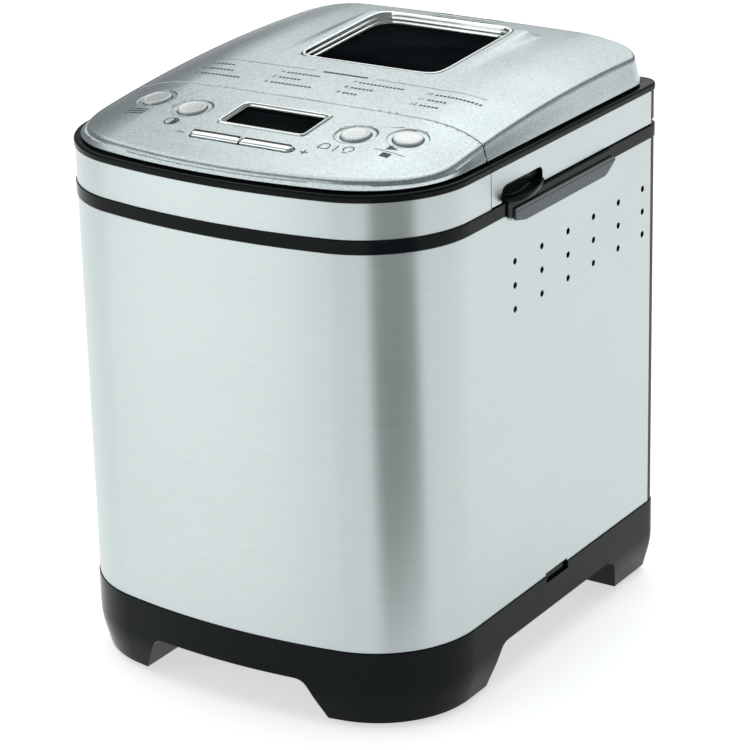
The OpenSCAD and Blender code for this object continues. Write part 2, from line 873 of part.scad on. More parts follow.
module round_button(spot) {
  color("#e6eae9") panel_place() translate([spot[0], spot[1], 0]) {
    translate([0, 0, cap_z0]) cylinder(r = button_r, h = cap_proud - cap_z0);
    translate([0, 0, cap_z0]) cylinder(r = button_r + 1.4, h = 1);
    translate([0, 0, switch_top - 0.2]) cylinder(r = stem_r, h = cap_z0 - switch_top + 0.4, $fn = 24);
  }
}

module button_program() {
  round_button(button_spots[0]);
}

module button_crust() {
  round_button(button_spots[1]);
}

module button_size() {
  round_button(button_spots[2]);
}

module button_start() {
  round_button(button_spots[3]);
}

module bar_button() {
  x0 = bar_middle_gap / 2;
  color("#eef1f1") panel_place() {
    translate([x0, bar_y - bar_w / 2, cap_z0]) cube([bar_len - bar_w / 2, bar_w, cap_proud - cap_z0]);
    translate([x0 + bar_len - bar_w / 2, bar_y, cap_z0])
      cylinder(r = bar_w / 2, h = cap_proud - cap_z0);
    translate([x0, bar_y - bar_w / 2 - 1.2, cap_z0]) cube([bar_len, bar_w + 2.4, 1]);
    translate([bar_stem_x, bar_y, switch_top - 0.2])
      cylinder(r = stem_r, h = cap_z0 - switch_top + 0.4, $fn = 24);
  }
}

module bar_minus() {
  mirror([1, 0, 0]) bar_button();
}

module bar_plus() {
  bar_button();
}

// ---- lid --------------------------------------------------------------

tab_y = seam_side_y + 11.5;
tab_w = 45.9;
tab_h = 9.6;
tab_out = 9;
pocket_in = 5;
tab_wall = 1.4;

module tab_pocket() {
  both_sides() translate([body_w / 2 - pocket_in, tab_y, z_lid - 1])
    cube([pocket_in + 5, tab_w, tab_h + 1]);
}

module lid_band() {
  color(steel) difference() {
    intersection() {
      shell(z_lid, z_ring, steel_inset, sheet);
      lid_region(z_band - 1, z_ring + 1, lid_gap);
    }
    rear_region(z_band, z_ring + 1, wrap_end_y);
    tab_pocket();
  }
}

module hinge_notches() {
  both_sides() translate([hinge_x - notch_w / 2, hinge_y - 9.5, z_lid - 1]) cube([notch_w, 30, 14]);
}

module lid_frame() {
  band_in = steel_inset + sheet;
  rear_relief = 2.4;
  a = chamber_w / 2 + seal_gap + seal_w + 0.3;
  b = chamber_d / 2 + seal_gap + seal_w + 0.3;
  color(black) difference() {
    intersection() {
      union() {
        prism(z_lid, z_ring, band_in);
        intersection() {
          prism(z_lid, z_ring, steel_inset);
          rear_region(z_lid, z_ring, wrap_end_y + 0.2);
        }
        prism(z_ring, z_cover, 0);
      }
      lid_region(z_lid - 1, z_cover + 1, lid_gap);
    }
    // hollow above the bottom flange
    intersection() {
      prism(z_lid + flange_t, z_ring - eps, band_in + plastic_wall);
      lid_region(z_lid - 1, z_cover + 1, lid_gap + plastic_wall);
    }
    intersection() {
      prism(z_ring - 1, z_cover + 1, cover_step + cover_wall + 2, cover_corner_r);
      lid_region(z_lid - 1, z_cover + 1, lid_gap + cover_wall + 2);
    }
    translate([0, chamber_y, 0]) pillow(z_lid - 1, z_lid + 5, a, b, chamber_r + 4);
    rear_region(z_lid - 1, z_lid + rear_relief, chamber_y + b - 0.5);
    hinge_notches();
    tab_pocket();
    both_sides() translate([body_w / 2 - pocket_in - tab_wall - 0.1, tab_y - 2.1, z_lid - 1])
      cube([20, tab_w + 4.2, flange_t + 1.2]);
  }
}

plateau_half = window_half + 16;

// Raised field round the window
module plateau(drop) {
  intersection() {
    rotate([90, 0, 90]) translate([0, 0, -plateau_half]) linear_extrude(2 * plateau_half)
      polygon([[plateau_y0, z_cover + 8], [plateau_y0, plateau_z0 - drop],
        [plateau_y1 - 6, z_plateau - drop],
               [plateau_y1, dome_top - 1 - drop], [plateau_y1, z_cover + 8]]);
    rotate([90, 0, 0]) translate([0, 0, -y_rear]) linear_extrude(body_d)
      polygon([[-plateau_half, 0], [plateau_half, 0], [plateau_half, dome_top - drop],
        [plateau_half - 6, z_plateau - drop],
               [-plateau_half + 6, z_plateau - drop], [-plateau_half, dome_top - drop]]);
  }
}

vent_len = 45;
vent_y = y_rear - 14;

// Space of the window, square to the sloping plateau: 0 is the plateau's face
module window_hole(grow, z0, z1) {
  translate([0, plateau_y1 - 6, z_plateau]) rotate([window_tilt, 0, 0])
    translate([0, window_y + 6 - plateau_y1, 0])
    pillow(z0, z1, window_half + grow, window_len / 2 + grow, 8 + grow);
}

module lid_cover() {
  color("#bfc6c6") difference() {
    intersection() {
      union() {
        crown(0, 0);
        plateau(0);
      }
      lid_region(z_cover - 1, z_plateau + 5, lid_gap);
    }
    intersection() {
      union() {
        crown(cover_wall, cover_wall);
        plateau(cover_wall + 1);
      }
      lid_region(z_cover - 2, z_plateau + 5, lid_gap + cover_wall);
    }
    window_hole(frame_w, -25, 5);
    for (i = [-1 : 1]) translate([-vent_len / 2, vent_y + i * 5 - 1, dome_top - 12])
      cube([vent_len, 2, 20]);
  }
}

module lid_tabs() {
  x0 = body_w / 2 - pocket_in;
  z_tab = z_lid + 0.3;
  tab_t = 3.2;
  color("#101214") both_sides() {
    translate([x0 - tab_wall, tab_y - 2, z_tab]) cube([tab_wall, tab_w + 4, tab_h + flange_t - 0.2]);
    translate([0, 0, z_tab]) linear_extrude(tab_t)
      polygon([[x0 - 0.5, tab_y + 2], [x0 + 7, tab_y + 2], [x0 + pocket_in + tab_out, tab_y + 9],
               [x0 + pocket_in + tab_out, tab_y + 26], [x0 + 8, tab_y + 40], [x0 - 0.5, tab_y + 40]]);
  }
}

module window_frame() {
  color("#dfe4e4") difference() {
    window_hole(frame_w, -glass_drop - glass_t, 0);
    window_hole(0, -glass_drop - glass_t - 1, 1);
    window_hole(1.5, -glass_drop / 2, 1);
  }
}

module window_glass() {
  color("#101315") window_hole(0, -glass_drop - glass_t, -glass_drop);
}

module inner_glass() {
  color("#20262a") translate([0, chamber_y, 0])
    pillow(z_dish + plate_t, z_dish + plate_t + glass_t, window_half + 4, window_len / 2 + 4, 12);
}

module lid_inner_plate() {
  a = chamber_w / 2 - dish_in;
  b = chamber_d / 2 - dish_in - 1;
  color("#aab0b0") difference() {
    translate([0, chamber_y, 0]) union() {
      pillow(z_plate, z_plate + plate_t, a + 13, b + 8.7, chamber_r);
      pillow(z_plate, z_dish + plate_t, a + plate_t, b + plate_t, chamber_r);
    }
    translate([0, chamber_y, 0]) pillow(z_plate - 1, z_dish, a, b, chamber_r - plate_t);
    translate([0, chamber_y, 0]) pillow(z_dish - 1, z_dish + 3, window_half - 1, window_len / 2 - 1, 8);
  }
}

module lid_seal() {
  a = chamber_w / 2 + seal_gap;
  b = chamber_d / 2 + seal_gap;
  color("#d8d3c8") translate([0, chamber_y, 0]) difference() {
    pillow(z_band + 0.3, z_plate, a + seal_w, b + seal_w, chamber_r + seal_w);
    pillow(z_band, z_plate + 1, a, b, chamber_r);
  }
}

module hinge_at() {
  both_sides() translate([hinge_x, hinge_y, hinge_z]) children();
}

module hinge_brackets() {
  base_t = 1.2;
  ear = (bracket_w - leaf_w - 0.8) / 2;
  color(dark_steel) hinge_at() difference() {
    union() {
      translate([-bracket_w / 2, -4.2, z_band - hinge_z]) cube([bracket_w, 8.2, base_t]);
      for (x = [-bracket_w / 2, bracket_w / 2 - ear]) {
        rod_x(x, x + ear, knuckle_r);
        translate([x, -knuckle_r + 0.6, z_band - hinge_z])
          cube([ear, 2 * knuckle_r - 1.2, hinge_z - z_band]);
      }
    }
    rod_x(-bracket_w, bracket_w, hinge_pin_r);
  }
}

module hinge_pins() {
  color("#cfd4d4") hinge_at() rod_x(-bracket_w / 2, bracket_w / 2, hinge_pin_r);
}

module hinge_leaves() {
  z0 = z_plate + plate_t - hinge_z;
  color(dark_steel) hinge_at() difference() {
    union() {
      translate([-leaf_w / 2, -11.5, z0]) cube([leaf_w, 9.5, 2]);
      rod_x(-leaf_w / 2, leaf_w / 2, knuckle_r);
    }
    rod_x(-bracket_w, bracket_w, hinge_pin_r + run_clear);
  }
}

// ---- bread pan --------------------------------------------------------

ear_w = 12;
boss_r = 8;
boss_h = 10;

module bread_pan() {
  a = pan_w / 2;
  b = pan_d / 2;
  color("#3a3d40") translate([0, chamber_y, 0]) difference() {
    union() {
      pillow(z_pan, z_pan_top, a, b, pan_r);
      pillow(z_pan_top - 1.5, z_pan_top, a + pan_lip, b + pan_lip, pan_r + pan_lip);
      translate([0, 0, z_pan - 4]) cylinder(r = boss_r, h = 5);
      both_sides() translate([a - 1, -ear_w / 2, z_bail - 6]) cube([pan_lip + 1, ear_w, 6 + 4.5]);
    }
    difference() {
      pillow(z_pan + pan_wall, z_pan_top + 1, a - pan_wall, b - pan_wall, pan_r - pan_wall);
      translate([0, 0, z_pan]) cylinder(r = boss_r, h = boss_h);
    }
    translate([0, 0, z_pan - 5]) cylinder(r = shaft_r + run_clear, h = boss_h + 10);
    both_sides() translate([0, 0, z_bail]) rod_x(a - 3, a + pan_lip + 1, bail_wire_r + run_clear);
  }
}

module pan_base_ring() {
  half = lug_angle / 2;
  z0 = z_oven + 0.3;
  color("#8b9192") translate([0, chamber_y, 0]) {
    difference() {
      translate([0, 0, z0]) cylinder(r = base_ring_r, h = z_pan - z0, $fn = 96);
      translate([0, 0, z0 - 1]) cylinder(r = base_ring_r - 3, h = z_pan - z0 + 2, $fn = 96);
    }
    for (k = [0 : 3]) rotate([0, 0, 45 + 90 * k])
      sector(base_ring_r - 1, lug_r, z_oven + lug_z, z_oven + lug_z + lug_h, -half, half);
  }
}

module bail_half() {
  straight = bail_y - bail_r;
  rod_x(pan_w / 2 - 1, bail_x, bail_wire_r);
  translate([bail_x, 0, 0]) rotate([90, 0, 0]) cylinder(r = bail_wire_r, h = straight);
  translate([bail_x, 0, 0]) sphere(r = bail_wire_r);
  translate([bail_x - bail_r, -straight, 0]) rotate([0, 0, -90])
    rotate_extrude(angle = 90) translate([bail_r, 0]) circle(r = bail_wire_r);
}

module bail_handle() {
  color("#c3c8c8") translate([0, chamber_y, z_bail]) {
    both_sides() bail_half();
    translate([0, -bail_y, 0]) rod_x(-bail_x + bail_r, bail_x - bail_r, bail_wire_r);
  }
}

z_prong = z_dog + 3;
z_disc = z_dog + dog_h + 0.5;
disc_t = 3.5;
prong_angle = 24;
prong_at = 34;

module pan_shaft() {
  color("#a5abab") translate([0, chamber_y, 0]) {
    translate([0, 0, z_disc]) cylinder(r = wing_r + 1, h = disc_t);
    translate([0, 0, z_disc]) cylinder(r = shaft_r, h = z_pan + 26 - z_disc);
    for (a = [0, 180]) rotate([0, 0, a])
      sector(prong_in, wing_r, z_prong, z_disc + 1,
        prong_at - prong_angle / 2, prong_at + prong_angle / 2);
  }
}

module kneading_paddle() {
  z0 = z_pan + boss_h + 0.5;
  blade_h = 20;
  color("#4a4d50") translate([0, chamber_y, z0]) difference() {
    union() {
      cylinder(r = 7.5, h = blade_h);
      translate([0, -2, 0]) cube([paddle_len - 8, 4, blade_h - 3]);
      translate([paddle_len - 8, 0, 0]) cylinder(r = 2, h = blade_h - 3);
    }
    translate([0, 0, -1]) cylinder(r = shaft_r, h = z_pan + 26 - z0 + 1);
  }
}

base();
bottom_cover();
rubber_feet();
case_screws();
body_wrap();
rear_panel();
wrap_clips();
rim_frame();
grip_left();
grip_right();
chassis_plate();
chamber_liner();
heating_element();
element_clips();
temp_sensor();
pan_socket();
bearing_housing();
bearing_bushes();
drive_shaft();
drive_dog();
drive_pulley();
drive_belt();
motor_can();
motor_shaft();
motor_pulley();
motor_capacitor();
power_board();
cord_gland();
panel_band();
panel_frame();
panel_cover();
lcd_bezel();
lcd_lens();
lcd_module();
control_board();
tact_switches();
button_program();
button_crust();
button_size();
button_start();
bar_minus();
bar_plus();
lid_band();
lid_frame();
lid_cover();
lid_tabs();
window_frame();
window_glass();
inner_glass();
lid_inner_plate();
lid_seal();
hinge_brackets();
hinge_pins();
hinge_leaves();
bread_pan();
pan_base_ring();
bail_handle();
pan_shaft();
kneading_paddle();
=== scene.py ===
import json
import math

import bmesh
import bpy
from mathutils import Matrix, Vector


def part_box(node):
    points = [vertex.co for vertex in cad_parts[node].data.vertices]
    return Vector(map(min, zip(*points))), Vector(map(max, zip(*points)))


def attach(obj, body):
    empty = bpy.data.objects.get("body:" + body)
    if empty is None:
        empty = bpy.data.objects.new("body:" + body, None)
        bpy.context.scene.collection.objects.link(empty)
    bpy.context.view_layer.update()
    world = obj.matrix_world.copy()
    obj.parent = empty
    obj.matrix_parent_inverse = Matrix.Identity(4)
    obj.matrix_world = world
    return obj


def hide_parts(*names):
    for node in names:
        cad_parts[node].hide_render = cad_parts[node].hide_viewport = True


bl_info = {
    "name": "Bread machine",
    "version": (1, 0, 0),
    "blender": (4, 5, 0),
    "location": "3D View > Sidebar > Bread machine",
    "description": "Builds the finished surfaces of a bread machine around its CAD frame",
    "category": "Object",
}

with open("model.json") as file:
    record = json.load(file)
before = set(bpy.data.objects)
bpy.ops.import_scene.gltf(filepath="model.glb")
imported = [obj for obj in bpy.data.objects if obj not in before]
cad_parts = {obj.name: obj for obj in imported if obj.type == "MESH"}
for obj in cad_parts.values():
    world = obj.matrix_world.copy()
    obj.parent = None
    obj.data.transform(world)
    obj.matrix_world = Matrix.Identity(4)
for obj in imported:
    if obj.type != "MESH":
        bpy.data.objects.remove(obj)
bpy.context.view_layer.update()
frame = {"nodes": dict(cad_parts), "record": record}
SLOT_OF = {row["node"]: row["material_slot"] for row in frame["record"]["subparts"]}


def node_box(name):
    """Lowest and highest corner of a CAD node, as vectors."""
    low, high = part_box(name)
    return Vector(low), Vector(high)


BASE_LOW, BASE_HIGH = node_box("base")
WRAP_HIGH = node_box("body_wrap")[1]
RIM_LOW, RIM_HIGH = node_box("rim_frame")
BAND_LOW, BAND_HIGH = node_box("lid_band")
CHAMBER_LOW, CHAMBER_HIGH = node_box("chamber_liner")
PAN_LOW, PAN_HIGH = node_box("bread_pan")
WELL_LOW, WELL_HIGH = node_box("window_frame")

HALF_W = BASE_HIGH.x
HALF_D = BASE_HIGH.y
Z_FOOT = BASE_LOW.z
Z_BASE = BASE_HIGH.z
Z_RIM = RIM_LOW.z
Z_DECK = RIM_HIGH.z
Z_LID = BAND_LOW.z
Z_RING = BAND_HIGH.z
Z_COVER = node_box("panel_frame")[1].z
Z_TOP = node_box("lid_cover")[1].z
SEAM_SIDE = node_box("panel_band")[1].y
LID_GAP = BAND_LOW.y - SEAM_SIDE
PAN_Y = (CHAMBER_LOW.y + CHAMBER_HIGH.y) / 2
WRAP_END = WRAP_HIGH.y
WINDOW_Y = (WELL_LOW.y + WELL_HIGH.y) / 2
BUTTONS = ("button_program", "button_crust", "button_size", "button_start")
BARS = ("bar_minus", "bar_plus")


# ---- settings a user would change ---------------------------------------

def length(name, text, default):
    """A length shown in the sidebar."""
    return bpy.props.FloatProperty(name=name, description=text, default=default, unit="LENGTH")


def colour_choice(name, text, default):
    """A colour shown in the sidebar."""
    return bpy.props.FloatVectorProperty(
        name=name, description=text, subtype="COLOR", default=default, min=0, max=1)


class BreadCaseSettings(bpy.types.PropertyGroup):
    """Sizes of the case's outline and edges."""
    front_arc: length("Front bow", "Radius of the bowed front", 0.400)
    front_corner: length("Front corner", "Radius of the front corners", 0.065)
    rear_corner: length("Rear corner", "Radius of the rear corners", 0.012)
    cover_corner: length("Cover's rear corner", "Radius of the cover's rear corners, at the outline", 0.026)
    steel_inset: length("Steel inset", "How far the steel lies behind the plastic", 0.0007)
    sheet: length("Sheet", "Thickness of the steel sheet", 0.0008)
    plastic: length("Plastic wall", "Wall of the mouldings", 0.0022)


class BreadCoverSettings(bpy.types.PropertyGroup):
    """Sizes of the crowned covers and what is let into them."""
    crown_radius: length("Crown radius", "Radius of the crown along the depth", 1.306)
    crown_back: length("Crown place", "Crest of the crown, ahead of the rear", 0.058)
    plateau_rise: length("Window field", "Rise of the field round the window", 0.0043)
    step: length("Cover step", "How far the cover steps in from the case", 0.004)
    lean: length("Skirt lean", "How far the skirt leans in as it rises", 0.0030)
    edge_radius: length("Edge radius", "Rounding between skirt and top", 0.0036)
    dish_radius: length("Dish radius", "Radius of the dish round a button", 0.0125)


class BreadFinishSettings(bpy.types.PropertyGroup):
    """Colours of the finishes."""
    steel: colour_choice("Brushed steel", "Colour of the brushed case", (0.57, 0.625, 0.62))
    cover: colour_choice("Cover", "Colour of the grained covers", (0.53, 0.595, 0.595))
    black: colour_choice("Black plastic", "Colour of the glossy mouldings", (0.004, 0.006, 0.007))
    # Painted reflection: the grips are black moulding, and this grey-green stands for the light reflected off
    # their faces.
    grip: colour_choice("Grip plastic", "Colour of the side grips", (0.040, 0.060, 0.062))
    ink: colour_choice("Ink", "Colour of the printed marks", (0.010, 0.013, 0.014))


def case():
    return bpy.context.scene.bread_case


def covers():
    return bpy.context.scene.bread_covers


def colours():
    return bpy.context.scene.bread_finish


# ---- modelling helpers --------------------------------------------------

def deselect():
    """Clears the selection, so an operator acts on the new piece only."""
    if bpy.context.mode != "OBJECT":
        bpy.ops.object.mode_set(mode="OBJECT")
    bpy.ops.object.select_all(action="DESELECT")


def pick(obj):
    """Makes one object the only selected and active one."""
    deselect()
    obj.select_set(True)
    bpy.context.view_layer.objects.active = obj


def in_edit(obj, work):
    """Runs a function in edit mode with the whole mesh selected."""
    pick(obj)
    bpy.ops.object.mode_set(mode="EDIT")
    bpy.ops.mesh.select_all(action="SELECT")
    work()
    bpy.ops.object.mode_set(mode="OBJECT")


def outward(obj):
    """Turns every face of a closed piece outwards."""
    in_edit(obj, lambda: bpy.ops.mesh.normals_make_consistent(inside=False))
    mesh = bmesh.new()
    mesh.from_mesh(obj.data)
    if mesh.calc_volume(signed=True) < 0:
        in_edit(obj, bpy.ops.mesh.flip_normals)
    mesh.free()


def place(obj, matrix):
    """Puts a piece where a matrix says and applies that to its mesh."""
    pick(obj)
    obj.matrix_world = matrix
    bpy.context.view_layer.update()
    bpy.ops.object.transform_apply(location=True, rotation=True, scale=True)


def modify(obj, kind, **settings):
    """Adds one modifier and applies it."""
    pick(obj)
    modifier = obj.modifiers.new(kind.title(), kind)
    for key, value in settings.items():
        setattr(modifier, key, value)
    bpy.ops.object.modifier_apply(modifier=modifier.name)


def round_edges(obj, width, segments=2, angle=35):
    modify(obj, "BEVEL", width=width, segments=segments, limit_method="ANGLE",
           angle_limit=math.radians(angle), use_clamp_overlap=True, harden_normals=False)


def cut(obj, cutter, operation="DIFFERENCE"):
    """Cuts one piece with another and throws the cutter away."""
    modify(obj, "BOOLEAN", object=cutter, operation=operation, solver="EXACT")
    bpy.data.objects.remove(cutter)


def keep_side(obj, point, normal):
    """Cuts a piece at a plane, drops what lies on the normal's side and closes the cut."""
    def bisect():
        bpy.ops.mesh.bisect(plane_co=point, plane_no=normal, use_fill=True, clear_outer=True, threshold=1e-6)
    in_edit(obj, bisect)
    outward(obj)


def join(name, objects):
    """Joins pieces into one."""
    deselect()
    for obj in objects:
        obj.select_set(True)
    bpy.context.view_layer.objects.active = objects[0]
    if len(objects) > 1:
        bpy.ops.object.join()
    objects[0].name = name
    return objects[0]


def smooth(obj, angle=32):
    pick(obj)
    bpy.ops.object.shade_smooth_by_angle(angle=math.radians(angle))


def add_mesh(name, points, faces):
    """A new object from computed points and faces."""
    mesh = bpy.data.meshes.new(name)
    mesh.from_pydata([tuple(p) for p in points], [], faces)
    mesh.update()
    obj = bpy.data.objects.new(name, mesh)
    bpy.context.scene.collection.objects.link(obj)
    return obj


def loft(name, rows, ring=False, cap_first=False, cap_last=False):
    """Skins closed rows of equal length; ring joins the last row back to the first."""
    count = len(rows[0])
    points = [p for row in rows for p in row]
    steps = len(rows) if ring else len(rows) - 1
    faces = []
    for k in range(steps):
        a = k * count
        b = ((k + 1) % len(rows)) * count
        for j in range(count):
            i = (j + 1) % count
            faces.append((a + j, a + i, b + i, b + j))
    if cap_first:
        faces.append(tuple(range(count))[::-1])
    if cap_last:
        faces.append(tuple(range((len(rows) - 1) * count, len(rows) * count)))
    obj = add_mesh(name, points, faces)
    outward(obj)
    return obj


def box(name, low, high, bevel=0.0, segments=2):
    """A block between two corners, with rounded edges."""
    deselect()
    low = Vector(low)
    high = Vector(high)
    bpy.ops.mesh.primitive_cube_add(size=1, location=(low + high) / 2)
    obj = bpy.context.object
    obj.name = name
    obj.scale = high - low
    bpy.ops.object.transform_apply(location=True, rotation=True, scale=True)
    if bevel:
        round_edges(obj, bevel, segments)
    return obj


def cylinder(name, radius, length, matrix=None, sides=64, bevel=0.0):
    """A round bar along local Z, centred on the matrix."""
    deselect()
    bpy.ops.mesh.primitive_cylinder_add(vertices=sides, radius=radius, depth=length)
    obj = bpy.context.object
    obj.name = name
    if bevel:
        round_edges(obj, bevel, 2)
    if matrix:
        place(obj, matrix)
    return obj


def turned(name, profile, matrix=None, sides=64):
    """A piece turned on a lathe from (radius, height) points, closed at both ends."""
    rows = [[(r * math.cos(a), r * math.sin(a), z) for a in
             (2 * math.pi * k / sides for k in range(sides))] for r, z in profile]
    obj = loft(name, rows, cap_first=True, cap_last=True)
    if matrix:
        place(obj, matrix)
    return obj


def slab(name, outline_points, z0, z1, bevel=0.0, segments=2):
    """A flat outline extruded from z0 to z1."""
    obj = loft(name, [[(x, y, z0) for x, y in outline_points], [(x, y, z1) for x, y in outline_points]],
               cap_first=True, cap_last=True)
    if bevel:
        round_edges(obj, bevel, segments, 50)
    return obj


def side_slab(name, outline_yz, x0, x1, bevel=0.0):
    """A slab whose outline lies in the YZ plane."""
    obj = loft(name, [[(x0, y, z) for y, z in outline_yz], [(x1, y, z) for y, z in outline_yz]],
               cap_first=True, cap_last=True)
    if bevel:
        round_edges(obj, bevel, 2, 50)
    return obj


# ---- outlines and heights -----------------------------------------------

def arc(cx, cy, radius, start, stop, steps):
    """Points along an arc, the last one left out; angles in degrees."""
    out = []
    for k in range(steps):
        a = math.radians(start + (stop - start) * k / steps)
        out.append((cx + radius * math.cos(a), cy + radius * math.sin(a)))
    return out


def run(start, stop, steps):
    """Points along a straight stretch, the last one left out."""
    return [(start[0] + (stop[0] - start[0]) * k / steps, start[1] + (stop[1] - start[1]) * k / steps)
            for k in range(steps)]


def outline(ins, fine=1, rear_corner=None):
    """The case's plan outline, inset by a distance, anticlockwise from the rear middle."""
    size = case()
    cx = HALF_W - size.front_corner
    ay = size.front_arc - HALF_D
    cy = ay - math.sqrt((size.front_arc - size.front_corner) ** 2 - cx ** 2)
    lean = math.degrees(math.atan2(cx, ay - cy))
    rear = max((rear_corner or size.rear_corner) - ins, 0.0005)
    rx = HALF_W - ins - rear
    ry = HALF_D - ins - rear
    front = size.front_arc - ins
    corner = size.front_corner - ins
    side = HALF_W - ins
    points = run((0, ry + rear), (-rx, ry + rear), 12 * fine)
    points += arc(-rx, ry, rear, 90, 180, 8)
    points += run((-side, ry), (-side, cy), 24 * fine)
    points += arc(-cx, cy, corner, 180, 270 - lean, 30)
    points += arc(0, ay, front, 270 - lean, 270 + lean, 20 * fine)
    points += arc(cx, cy, corner, 270 + lean, 360, 30)
    points += run((side, cy), (side, ry), 24 * fine)
    points += arc(rx, ry, rear, 0, 90, 8)
    points += run((rx, ry + rear), (0, ry + rear), 12 * fine)
    return points


def rounded(profile, steps=3):
    """Rounds the corners of a closed (inset, height, radius) profile."""
    out = []
    count = len(profile)
    for k, (u, v, r) in enumerate(profile):
        here = Vector((u, v))
        if not r:
            out.append((u, v))
            continue
        before = Vector(profile[k - 1][:2])
        after = Vector(profile[(k + 1) % count][:2])
        a = here + (before - here).normalized() * r
        b = here + (after - here).normalized() * r
        for s in range(steps + 1):
            t = s / steps
            p = a * (1 - t) ** 2 + here * 2 * t * (1 - t) + b * t ** 2
            out.append((p.x, p.y))
    return out


def rim_ring(name, profile):
    """A closed ring of a cross-section of (inset, height) points round the case's outline."""
    rows = [[(x, y, z) for x, y in outline(ins)] for ins, z in profile]
    return loft(name, rows, ring=True)


def strip(ins0, ins1, z0, z1, r):
    """Cross-section of a wall between two insets and two heights."""
    return rounded([(ins0, z0, r), (ins1, z0, 0), (ins1, z1, 0), (ins0, z1, r)])


def squircle(angle, a, b, power):
    """Distance to a rounded rectangle of half sizes a and b in a direction."""
    c = abs(math.cos(angle)) / a
    s = abs(math.sin(angle)) / b
    return (c ** power + s ** power) ** (-1 / power)


def squircle_loop(a, b, power, count=96, cx=0.0, cy=0.0):
    """A rounded rectangle with evenly turning points."""
    out = []
    for k in range(count):
        t = 2 * math.pi * k / count
        x = a * math.copysign(abs(math.cos(t)) ** (2 / power), math.cos(t))
        y = b * math.copysign(abs(math.sin(t)) ** (2 / power), math.sin(t))
        out.append((cx + x, cy + y))
    return out


def ease(t):
    """Smooth step from 0 to 1."""
    t = min(max(t, 0), 1)
    return t * t * (3 - 2 * t)


PLATEAU_HALF = 0.0635
PLATEAU_EDGE = 0.009
PLATEAU_FRONT = WINDOW_Y - 0.0685
PLATEAU_REAR = WINDOW_Y + 0.0545
WINDOW_HALF = (WELL_HIGH.x - WELL_LOW.x) / 2 - 0.003
WINDOW_LEN = WELL_HIGH.y - WELL_LOW.y - 0.006
WINDOW_POWER = 11


def crest():
    return Z_TOP - covers().plateau_rise


def bare_crown(y):
    radius = covers().crown_radius
    return crest() - radius + math.sqrt(radius ** 2 - (y - HALF_D + covers().crown_back) ** 2)


def plateau_plane(y):
    """Height of the flat field that holds the window."""
    z0 = bare_crown(PLATEAU_FRONT) - 0.0003
    y1 = PLATEAU_REAR - 0.006
    return z0 + (Z_TOP - 0.0006 - z0) * (y - PLATEAU_FRONT) / (y1 - PLATEAU_FRONT)


def crown(x, y):
    """Height of the covers' outer face."""
    ax = abs(x)
    side = max(0.0, ax - 0.076)
    z = bare_crown(y) - x * x / 9.0 - 3.9 * side * side
    field = plateau_plane(y) - z
    if field > 0:
        field *= ease((PLATEAU_HALF - ax) / PLATEAU_EDGE) * ease((PLATEAU_REAR - y) / PLATEAU_EDGE)
        field *= ease((y - PLATEAU_FRONT) / 0.012)
        z += field
    return z


def on_crown(x, y, lift=0.0):
    """A place on the covers, local Z square to their face."""
    h = 0.002
    slope_x = (crown(x + h, y) - crown(x - h, y)) / (2 * h)
    slope_y = (crown(x, y + h) - crown(x, y - h)) / (2 * h)
    normal = Vector((-slope_x, -slope_y, 1)).normalized()
    right = Vector((1, 0, slope_x)).normalized()
    ahead = normal.cross(right)
    matrix = Matrix((right, ahead, normal)).transposed().to_4x4()
    matrix.translation = Vector((x, y, crown(x, y))) + normal * lift
    return matrix


def seam(x):
    """Where the fixed panel ends: straight across, rounded forward at the sides."""
    across = SEAM_SIDE + 0.0072
    t = (abs(x) - 0.098) / 0.026
    if t <= 0:
        return across
    return across - 0.0072 * (1 - math.sqrt(max(0.0, 1 - min(t, 1) ** 2)))


# ---- shader helpers -----------------------------------------------------

class Value:
    """A socket that takes part in Python expressions."""

    def __init__(self, finish, socket):
        self.finish = finish
        self.socket = socket

    def math(self, operation, *others):
        values = dict(enumerate((self,) + others))
        return self.finish.node("ShaderNodeMath", {"operation": operation}, values)

    def __add__(self, other):
        return self.math("ADD", other)

    __radd__ = __add__

    def __mul__(self, other):
        return self.math("MULTIPLY", other)

    __rmul__ = __mul__

    def __sub__(self, other):
        return self.math("SUBTRACT", other)

    def __rsub__(self, other):
        return self.finish.node("ShaderNodeMath", {"operation": "SUBTRACT"}, {0: other, 1: self})

    def over(self, edge, width):
        """0 below an edge, 1 above it, with a soft step between."""
        return ((self - (edge - width / 2)) * (1 / width)).math("MAXIMUM", 0.0).math("MINIMUM", 1.0)


